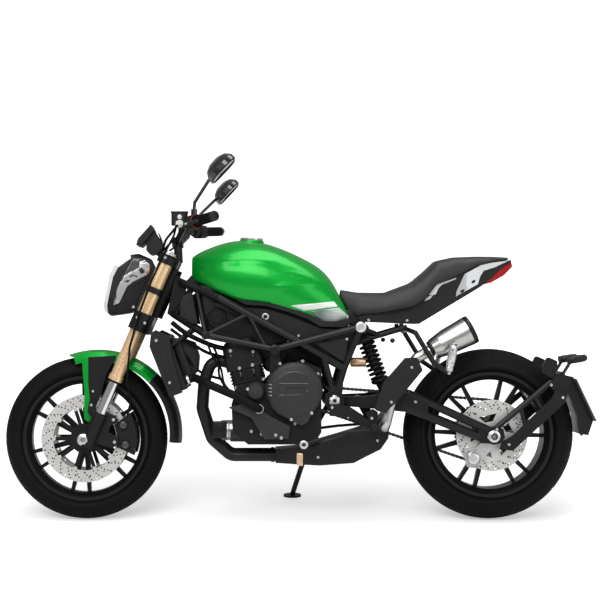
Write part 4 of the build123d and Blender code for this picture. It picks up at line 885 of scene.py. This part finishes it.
def mirror_glasses():
    """The two reflecting faces, deep in the rims of the shells' open sides."""
    ring = soft_ring(MIRROR_WAY.cross(SIDEWAYS), 75, 54, 0.55, 40)
    rim = [(1.02, 2.0), (1.03, -1.0), (1.0, -4.2), (0.95, -4.4), (0.93, -1.0)]
    centres = [on_side(MIRROR_HEAD, side) - MIRROR_WAY * 12.0 for side in SIDES]
    glasses = [capped(stacked(c, ring, MIRROR_WAY, [(0.94, 0.0), (0.92, -1.0)])) for c in centres]
    hard("mirror_glasses", glasses, "mirror", "steering")
    rims = [lattice(stacked(c, ring, MIRROR_WAY, rim), closed_columns=True) for c in centres]
    joined("mirror_rims", rims, "black_satin", "steering")


# Dark housings under the tank and behind the radiator

def block(outline, low, high, rim):
    """A housing across the bike from one side to the other, with its side edges rounded off."""
    middle = Vector((sum(x for x, _ in outline), sum(z for _, z in outline))) / len(outline)
    edge = [Vector(p) for p in divided(outline, 14.0)]
    sizes = []
    for k in range(5):
        turn = pi * k / 8
        sizes.append((rim * (1 - sin(turn)), low + rim * (1 - cos(turn))))
    for k in range(5):
        turn = pi * k / 8
        sizes.append((rim * (1 - cos(turn)), high - rim + rim * sin(turn)))
    rows = []
    for inset, y in sizes:
        inner = [p - (p - middle).normalized() * inset for p in edge]
        rows.append([(p.x, y, p.y) for p in inner])
    return capped(rows)


AIRBOX_FRONT = [(372, 882), (394, 906), (430, 880), (480, 856), (480, 800), (440, 820), (400, 843)]
AIRBOX_MAIN = [(425, 866), (470, 858), (522, 834), (591, 812), (666, 804), (749, 785), (818, 759), (868, 729),
               (946, 724), (970, 736), (966, 702), (930, 657), (850, 652), (760, 664), (722, 650), (690, 640),
               (600, 652), (470, 680), (447, 700), (430, 770)]
FAN_HOUSING = [(318, 672), (352, 662), (404, 522), (372, 504)]
REAR_PANEL = [(832, 648), (905, 668), (984, 690), (986, 677), (964, 620), (944, 566), (928, 566), (880, 610)]
FRONT_PANEL = [(352, 800), (366, 826), (396, 838), (406, 790), (418, 722), (398, 722), (352, 750)]
SEAT_BASE = [(946, 776), (1024, 768), (1032, 712), (985, 712), (960, 736)]
FAN_MOTOR = [(345, 674), (402, 654), (418, 602), (414, 548), (384, 516)]
CASE_TOP = [(711, 636), (786, 641), (852, 613), (878, 600), (868, 556), (800, 586), (716, 570)]
THROTTLES = [(590, 660), (700, 652), (716, 606), (652, 590), (612, 612)]
HORN = [(469, 367), (522, 367), (522, 305), (469, 305)]
COOLING_LINES = [
    ([(322, -122, 728), (364, -124, 695), (412, -124, 668), (480, -112, 640), (540, -70, 628)], 9.0),
    ([(318, -112, 704), (355, -110, 676), (398, -104, 648), (452, -80, 616), (510, -50, 600)], 6.0),
    ([(350, -98, 630), (378, -92, 600), (400, -84, 566), (440, -76, 538), (500, -70, 520)], 5.0),
    ([(452, -96, 650), (470, -98, 604), (500, -100, 560), (512, -96, 506), (540, -92, 470)], 4.0),
    ([(470, -84, 644), (492, -88, 592), (494, -90, 536), (520, -84, 486), (556, -76, 452)], 4.5),
    ([(720, -88, 640), (742, -92, 612), (730, -90, 580), (700, -84, 560), (668, -78, 552)], 4.5),
    ([(870, -84, 620), (884, -90, 570), (872, -92, 520), (884, -90, 470)], 5.0),
]
OIL_FILTER = [(0.2, 1), (9, 0), (30, 2), (37, 8), (38, 14), (36.5, 16), (38, 18), (38, 34), (36.5, 36),
              (38, 38), (38, 52)]
STARTER = [(0.2, -84), (24, -84), (31, -78), (33, -60), (33, -20), (35, -18), (35, -10), (33, -8), (33, 58),
           (28, 70), (0.2, 71)]
AIRBOX_CAP = [(37, -4), (37, 5), (34, 8), (31, 8), (29, 5), (22, 5), (20, 9), (8, 9), (7, 6), (0.2, 6)]
HORN_FACE = [(17, -1), (17, 2), (14.5, 2.6), (13, 1), (4, 1), (3, 3), (0.2, 3)]


def housings():
    """The airbox between the tubes with its side caps, the fan, the intake, the horn and the oil filter."""
    for name, look, blocks in (
            ("airbox_body", "black_plastic", [(AIRBOX_FRONT, 46, 8), (AIRBOX_MAIN, 98, 14)]),
            ("fan_housing", "black_plastic", [(FAN_HOUSING, 104, 8)]),
            ("fan_motor", "black_plastic", [(FAN_MOTOR, 88, 10)]),
            ("case_top", "black_cast", [(CASE_TOP, 56, 10)]),
            ("seat_base", "black_plastic", [(SEAT_BASE, 86, 8)])):
        joined(name, [block(outline, -half, half, rim) for outline, half, rim in blocks], look)
    corners = [block(outline, low, low + 10, 4) for outline in (REAR_PANEL, FRONT_PANEL) for low in (-128, 118)]
    joined("corner_fillers", corners, "black_plastic")
    bodies = [block(THROTTLES, -78, -18, 10), block(THROTTLES, 18, 78, 10)]
    hard("intake_and_starter", bodies + [spun(STARTER, (686, 0, 578), (0, 1, 0), 32)], "black_cast")
    joined("cooling_lines", [tube(smooth_line(line), r, 10) for line, r in COOLING_LINES], "rubber")
    horn = [block(HORN, -118, -92, 6), spun(HORN_FACE, (496, -118, 336), (0, -1, 0), 28)]
    hard("horn", horn, "black_satin")
    hard("oil_filter", [spun(OIL_FILTER, (494, -52, 331), (1, 0, 0), 40)], "alloy")
    caps = [spun(AIRBOX_CAP, (487, side * 97, 742), (0, side, 0), 36) for side in SIDES]
    hard("airbox_caps", caps, "black_satin")


CORE_MIDDLE = Vector((330.0, 0.0, 580.0))
CORE_LEAN = radians(20.0)
CORE_FACE = 11.8
CORE_HALF_WIDTH = 128
FIN_ROWS = 24
FIN_PITCH = 4.0
FIN_HEIGHT = 1.2
FIN_HALF = 0.7


def radiator_core():
    """Fine fins on the front and the back of the core, between the side tanks."""
    along = Vector((sin(CORE_LEAN), 0.0, -cos(CORE_LEAN)))
    forward = Vector((-cos(CORE_LEAN), 0.0, -sin(CORE_LEAN)))
    thick = along * FIN_HALF
    fins = []
    for row in range(-FIN_ROWS, FIN_ROWS + 1):
        for face in (-1, 1):
            near = CORE_MIDDLE + along * row * FIN_PITCH + forward * face * CORE_FACE
            far = near + forward * face * FIN_HEIGHT
            corners = [near - thick, near + thick, far + thick, far - thick]
            fins.append(capped([[c + SIDEWAYS * side * CORE_HALF_WIDTH for c in corners] for side in SIDES]))
    joined("radiator_fins", fins, "black_satin", smooth=False)


# Rear suspension: a real coil spring round a ribbed damper

SHOCK_TOP = Vector((1020.0, 0.0, 704.0))
SHOCK_FOOT = Vector((1118.0, 0.0, 436.0))
COIL_TURNS = 8.2
COIL_STEPS = 36
COIL_START = 56
COIL_LENGTH = 142
COIL_RADIUS = 27.5
COIL_WIRE = 5.4
DAMPER = [
    ([(12, -4), (21, -3), (21, 16), (30, 24), (33, 34), (33, 42), (30, 44), (33, 46), (33, 54), (20, 55)], 40),
    ([(18, 50), (18, 150), (15, 152), (11, 156), (11, 214)], 32),
    ([(11, 196), (33, 197), (34, 203), (30, 210), (20, 214), (17, 232), (20, 250), (22, 272), (12, 276)], 40),
]
SHOCK_EYE = [(13, -19), (21, -19), (21.5, -17), (21.5, 17), (21, 19), (13, 19)]
SHOCK_TANK = [(6, -30), (15, -29), (17.5, -26), (17.5, 24), (16, 27), (-9, 27.2), (-9, 31), (0.2, 31)]


def shock():
    """Damper, coil spring, collars and reservoir."""
    way = (SHOCK_FOOT - SHOCK_TOP).normalized()
    front = way.cross(SIDEWAYS)
    coil = []
    for k in range(int(COIL_TURNS * COIL_STEPS) + 1):
        angle = 2 * pi * k / COIL_STEPS
        down = COIL_START + COIL_LENGTH * k / (COIL_TURNS * COIL_STEPS)
        coil.append(SHOCK_TOP + way * down + (SIDEWAYS * cos(angle) + front * sin(angle)) * COIL_RADIUS)
    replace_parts(joined("shock_spring", [tube(coil, COIL_WIRE, 12)], "black_satin"), "rear_shock")
    hard("shock_body", [spun(profile, SHOCK_TOP, way, sides) for profile, sides in DAMPER], "black_cast")
    eyes = [spun(SHOCK_EYE, place, SIDEWAYS, 32) for place in (SHOCK_TOP, SHOCK_FOOT)]
    joined("shock_eyes", eyes, "alloy")
    pipe = tube(smooth_line([(1036, 0, 580), (1046, 0, 598), (1034, 0, 640)], 5), 8.0, 12)
    hard("shock_reservoir", [spun(SHOCK_TANK, (1008, 0, 580), (-1, 0, 0), 32), pipe], "gold")


# Chain: plates, pins and rollers in place of the plain band

LINKS = 114
CHAIN_Y = 102.0
FRONT_SPROCKET = (857.41, 445.0, 40.69)
REAR_SPROCKET = (1490.0, 315.0, 121.36)
PLATE_END = 6.2
PLATE_WAIST = 4.4
PLATE_THICKNESS = 1.6
INNER_PLATE = 3.4
OUTER_PLATE = 5.3


def pin_at(sprocket, angle):
    """The chain's line on a sprocket."""
    x, z, radius = sprocket
    return Vector((x + radius * cos(angle), CHAIN_Y, z + radius * sin(angle)))


def chain_places():
    """Where the pins lie round the two sprockets, a pitch apart."""
    (fx, fz, fr), (rx, rz, rr) = FRONT_SPROCKET, REAR_SPROCKET
    gap = dist((fx, fz), (rx, rz))
    slope = asin((rr - fr) / gap)
    start = atan2(fz - rz, fx - rx) - pi / 2 + slope
    low = start - pi - 2 * slope
    rear, front, run = rr * (pi + 2 * slope), fr * (pi - 2 * slope), gap * cos(slope)
    found = []
    for k in range(LINKS):
        along = (rear + front + 2 * run) * k / LINKS
        if along < rear:
            place = pin_at(REAR_SPROCKET, start - along / rr)
        elif along < rear + run:
            place = pin_at(REAR_SPROCKET, low).lerp(pin_at(FRONT_SPROCKET, low), (along - rear) / run)
        elif along < rear + run + front:
            place = pin_at(FRONT_SPROCKET, low - (along - rear - run) / fr)
        else:
            left = (along - rear - run - front) / run
            place = pin_at(FRONT_SPROCKET, start).lerp(pin_at(REAR_SPROCKET, start), left)
        found.append(place)
    return found


def link_plate(first, second, shift):
    """A waisted side plate over two pins, at two distances from the chain's middle."""
    way = second - first
    along = way.normalized()
    up = Vector((-along.z, 0.0, along.x))
    middle = (first + second) / 2
    outline = []
    for end in (1, -1):
        for k in range(9):
            a = pi * (k / 8 - 0.5)
            reach = way.length / 2 + PLATE_END * cos(a)
            outline.append(middle + along * end * reach + up * end * PLATE_END * sin(a))
        outline.append(middle + up * end * PLATE_WAIST)
    return capped([[p + SIDEWAYS * y for p in outline] for y in shift])


def chain():
    """All the chain's links."""
    pins = chain_places()
    parts = []
    for k, here in enumerate(pins):
        after = pins[(k + 1) % LINKS]
        inner = INNER_PLATE if k % 2 else OUTER_PLATE
        for side in SIDES:
            parts.append(link_plate(here, after, sorted((side * inner, side * (inner + PLATE_THICKNESS)))))
        parts.append(spun([(4.8, -3.4), (4.8, 3.4)], here, SIDEWAYS, 10))
        parts.append(spun([(2.3, -7.4), (2.3, 7.4)], here, SIDEWAYS, 8))
    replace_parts(joined("chain_links", parts, "chain_steel", smooth=False), "chain")


# Seat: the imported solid, softened into upholstery with sewn seams

SEAM_X = (1212.0, 1300.0)
SIDE_SEAM_Y = 78.0
SEAM_DEPTH = 1.6
SEAM_WIDTH = 2.6
SEAM_BEND = 0.0011
COVER_VOXEL = 0.0045


def seam(gap):
    """How far a seam presses in at a distance from it."""
    return SEAM_DEPTH * exp(-(gap / SEAM_WIDTH) ** 2)


def seat_cover():
    """A rounded copy of the seat's solid, with seams pressed in."""
    node = frame["nodes"]["seat"]
    found = in_scene("seat_cover", node.data.copy())
    found.matrix_world = node.matrix_world
    remesh = found.modifiers.new("even", "REMESH")
    remesh.mode = "VOXEL"
    remesh.voxel_size = COVER_VOXEL
    soften = found.modifiers.new("soften", "SMOOTH")
    soften.factor = 0.5
    soften.iterations = 14
    graph = bpy.context.evaluated_depsgraph_get()
    graph.update()
    made = bpy.data.meshes.new_from_object(found.evaluated_get(graph))
    found.modifiers.clear()
    found.data = made
    place = BACK @ found.matrix_world
    back = place.inverted()
    for vertex in made.vertices:
        spot = (place @ vertex.co) / MM
        dip = sum(seam(spot.x - x - SEAM_BEND * spot.y**2) for x in SEAM_X)
        if spot.x < SEAM_X[0] - 2:
            dip += seam(abs(spot.y) - SIDE_SEAM_Y)
        spot.z -= dip
        vertex.co = back @ (spot * MM)
    made.polygons.foreach_set("use_smooth", [True] * len(made.polygons))
    made.materials.clear()
    made.materials.append(LOOKS["vinyl"])
    made.update()
    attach(found, "chassis")
    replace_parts(found, "seat")


# Tail, silencer and plate

TAIL_FILMS = [
    [(1259, 827), (1276, 859), (1292, 868), (1364, 892), (1359, 885), (1308, 865), (1297, 854), (1286, 830)],
    [(1243, 805), (1254, 820), (1278, 830), (1264, 813)],
]
PANEL_SLOTS = [(1384, 842), (1426, 877)]
PEG_FOOT = Vector((1319.0, 206.0, 545.0))
PEG_TOP = Vector((1337.0, 222.0, 650.0))
PEG_SLEEVE = [(11.2, 8), (13, 9), (13.6, 22), (11.6, 25), (14.5, 30), (16, 62), (15, 92), (12, 104), (7, 109),
              (0.2, 110)]
PLATE_WAY = (0.905, 0, 0.425)
PLATE_HOLES = ((1806.5, 512), (1868.6, 386.2))
INDICATOR = [(13.2, 0), (14.2, 2), (14.4, 12), (14.2, 40), (12.5, 50), (8, 55), (0.2, 56.5)]


def tail_details():
    """The tail's pale films and slots, the pillion's pegs, the plate's bolts, reflector and lamp ends."""
    tail = ["tail_cowl", "tail_panels", "tail_light"]
    films("tail_films", "white_film", tail, TAIL_FILMS, 0.7)
    slots = [[(x + 7 * cos(a) - 3 * sin(a), z + 5 * cos(a) + 4 * sin(a)) for a in around(16)]
             for x, z in PANEL_SLOTS]
    films("tail_slots", "black_satin", tail, slots, 0.8, 3.0)
    sleeves, dots = [], []
    for side in SIDES:
        foot = on_side(PEG_FOOT, side)
        way = (on_side(PEG_TOP, side) - foot).normalized()
        sleeves.append(spun(PEG_SLEEVE, foot, way, 28))
        for k in range(4):
            spot = foot + way * (38 + 16 * k) + Vector((3 * (-1) ** k, side * 14.6, 0.0))
            dots.append(spun([(2.6, -2), (2.6, 0.6), (0.2, 0.8)], spot, (0, side, 0), 10))
    hard("pillion_pegs", sleeves, "alloy")
    joined("pillion_peg_marks", dots, "black_satin")
    bolts = [socket_bolt((x, y, z), PLATE_WAY, 4.5) for y in (-50, 50) for x, z in PLATE_HOLES]
    hard("plate_bolts", bolts, "alloy")
    reflector = spun([(24, 0), (24, 5), (22, 7), (0.2, 7.5)], (1842, 0, 330), (0.94, 0, -0.34), 28)
    joined("rear_reflector", [reflector], "red_lens")
    ends = [spun(INDICATOR, (1782, y, 589.5), (66, 0, 10), 28) for y in (-78, 78)]
    joined("indicator_lenses", ends, "black_satin")


SILENCER_FOOT = Vector((1262.0, -148.0, 626.0))
SILENCER_WAY = Vector((144.0, 0.0, 75.0)).normalized()
CAN_RINGS = [
    [(30.5, -3), (33, -2), (34, 3), (35.5, 9), (33.5, 10)],
    [(50.6, 152), (53.2, 153), (53.2, 161), (52.2, 168.5), (46, 170), (30, 170.5), (25, 166), (24.2, 120)],
]
CAN_EDGE = ((8, 35), (64, 45.6), (110, 48.2), (154, 51))


def silencer_bands():
    """The dark rings at both ends of the can, and its seams above and below."""
    rings = [spun(profile, SILENCER_FOOT, SILENCER_WAY, 48) for profile in CAN_RINGS]
    joined("silencer_rings", rings, "black_satin")
    over = Vector((-SILENCER_WAY.z, 0.0, SILENCER_WAY.x))
    edges = []
    for way in (-1, 1):
        line = [SILENCER_FOOT + SILENCER_WAY * along + over * (way * reach) for along, reach in CAN_EDGE]
        edges.append(tube(line, 2.6, 8))
    joined("silencer_edges", edges, "black_satin")


PEDAL_HUB = (800, -222, 290)
PEDAL_CAP = [(15, -1), (15, 2.4), (13, 3.4), (6.5, 3.4), (6, 1), (0.2, 1)]


def exhaust_clamps():
    """Bands where the headers enter the box, its gold strap and its bolts, and the pedal's hub."""
    band = [(21.2, 0), (24, 0.5), (24, 13), (21.2, 13.5)]
    hard("exhaust_bands", [spun(band, (684, y, 238), (1, 0, 0), 32) for y in (-62, 36)], "black_satin")
    films("exhaust_strap", "gold", ["exhaust_box"], [[(777, 252), (799, 252), (799, 206), (777, 206)]], 1.6)
    hub = spun([(6.4, 0), (6.4, 4.0), (0.2, 4.0)], PEDAL_HUB, (0, -1, 0), 20)
    joined("pedal_hub", [hub], "black_satin")
    studs = bolts_on([(788, 214), (854, 237), (1070, 298)], surface_of("exhaust_box"), 5.0, (-1,))
    studs.append(spun(PEDAL_CAP, PEDAL_HUB, (0, -1, 0), 28))
    hard("exhaust_studs", studs, "alloy")


REAR_BOLTS = [(1113, 442), (1186, 566), (1206, 440), (1500, 340), (1545, 285), (1700, 500), (1740, 455),
              (1180, 735), (1040, 736), (1319, 545), (1440, 268), (1470, 312), (1412, 250)]
SHROUD_RIB = [(276, 650), (306, 636), (318, 560), (336, 492), (322, 486), (300, 548), (290, 600)]


def small_fittings():
    """Bolts on the heat shield, swingarm, plate arms and tail, the hose's bands, the shrouds' ribs."""
    rear = surface_of("heat_shield", "swingarm", "plate_arms", "tail_cowl", "rear_caliper", "pillion_hangers")
    parts = bolts_on(REAR_BOLTS, rear, 5.2, (-1,)) + bolts_on(REAR_BOLTS[2:9], rear, 5.2, (1,))
    hard("rear_bolts", parts, "alloy")
    band = [(15.0, 0), (16.4, 0.4), (16.4, 8), (15.0, 8.4)]
    ends = (((379, -138, 518), (0.942, 0, 0.34)), ((640, -192, 416), (0, 1, 0)))
    hard("hose_clamps", [spun(band, place, way, 28) for place, way in ends], "alloy")
    hard("shroud_bolts", bolts_on([(318, 510), (270, 662)], surface_of("radiator_shrouds"), 5.5), "alloy")
    ribs = [skin(SHROUD_RIB, surface_of("radiator_shrouds"), side, 1.6, 6.0) for side in SIDES]
    hard("shroud_ribs", ribs, "black_plastic")


for make in (tank_body, tank_details, lamp_trim, housings, engine_bolts, clutch_details, frame_fittings,
             axle_nuts, fork_fittings, disc_hole_shade, caliper_details, bar_details, instrument_face,
             mirror_glasses, radiator_core, shock, chain, seat_cover, tail_details, silencer_bands,
             exhaust_clamps, small_fittings):
    make()


# Floor, light and camera

CAMERA_AT = (643.4, -5500.0, 699.7)
CAMERA_LENS = 88.71
CAMERA_SHIFT = (0.0667, 0.05)
FLOOR_HALF = 40.0


def camera():
    """The photograph's own view: level with the upright bike, straight at its side."""
    data = bpy.data.cameras.new("camera")
    data.lens = CAMERA_LENS
    data.sensor_width = 36.0
    data.shift_x, data.shift_y = CAMERA_SHIFT
    found = in_scene("camera", data)
    turn = Matrix.Rotation(pi / 2, 4, "X")
    found.matrix_world = BIKE @ Matrix.Translation(Vector(CAMERA_AT) * MM) @ turn
    bpy.context.scene.camera = found


def area_light(name, place, target, size, power):
    """A soft rectangular lamp that looks at a point."""
    data = bpy.data.lights.new(name, "AREA")
    data.shape = "RECTANGLE"
    data.size, data.size_y = size
    data.energy = power
    aim = (Vector(target) - Vector(place)).to_track_quat("-Z", "Y")
    in_scene(name, data).matrix_world = Matrix.Translation(Vector(place)) @ aim.to_matrix().to_4x4()


def world():
    """A pale studio: white where it is seen, softer as a light."""
    found = bpy.data.worlds.new("studio")
    bpy.context.scene.world = found
    graph = Graph(found)
    lit = graph.add("Background", Color=WHITE, Strength=0.30)
    shown = graph.add("Background", Color=WHITE, Strength=1.0)
    mix = graph.add("MixShader")
    graph.link(graph.add("LightPath").outputs["Is Camera Ray"], mix.inputs["Fac"])
    graph.link(lit.outputs[0], mix.inputs[1])
    graph.link(shown.outputs[0], mix.inputs[2])
    graph.link(mix.outputs[0], graph.add("OutputWorld").inputs["Surface"])


def floor():
    """A pale floor that keeps the shadow and is lit up towards its far edges."""
    corners = [(-1, -1), (1, -1), (1, 1), (-1, 1)]
    mesh = bpy.data.meshes.new("floor")
    mesh.from_pydata([(x * FLOOR_HALF, y * FLOOR_HALF, 0) for x, y in corners], [], [(0, 1, 2, 3)])
    paint = Paint("pale_floor", Roughness=0.9, Specular_IOR_Level=0.1)
    paint.colours(paint.noise(60.0), (0.82, 0.82, 0.82), (0.86, 0.86, 0.86))
    away = paint.add("VectorMath")
    away.operation = "LENGTH"
    paint.link(paint.add("NewGeometry").outputs["Position"], away.inputs[0])
    strength = paint.add("Math")
    strength.operation = "MULTIPLY"
    paint.link(paint.add("LightPath").outputs["Is Camera Ray"], strength.inputs[0])
    paint.link(paint.span(away.outputs["Value"], 1.3, 3.5, 0.42, 1.0), strength.inputs[1])
    glow = paint.add("Emission", Color=WHITE)
    paint.link(strength.outputs[0], glow.inputs["Strength"])
    total = paint.add("AddShader")
    paint.link(paint.shader.outputs["BSDF"], total.inputs[0])
    paint.link(glow.outputs[0], total.inputs[1])
    paint.link(total.outputs[0], paint.output.inputs["Surface"])
    mesh.materials.append(paint.owner)
    in_scene("floor", mesh)


camera()
world()
floor()
area_light("key", (-1.6, -4.6, 4.6), (0.0, 0.0, 0.6), (5.0, 2.6), 210.0)
area_light("top", (0.3, -0.2, 4.6), (0.1, 0.0, 0.6), (5.0, 2.4), 140.0)
area_light("fill", (3.6, -3.8, 2.2), (0.2, 0.0, 0.6), (3.2, 3.2), 55.0)
bpy.context.scene.view_settings.view_transform = "Standard"
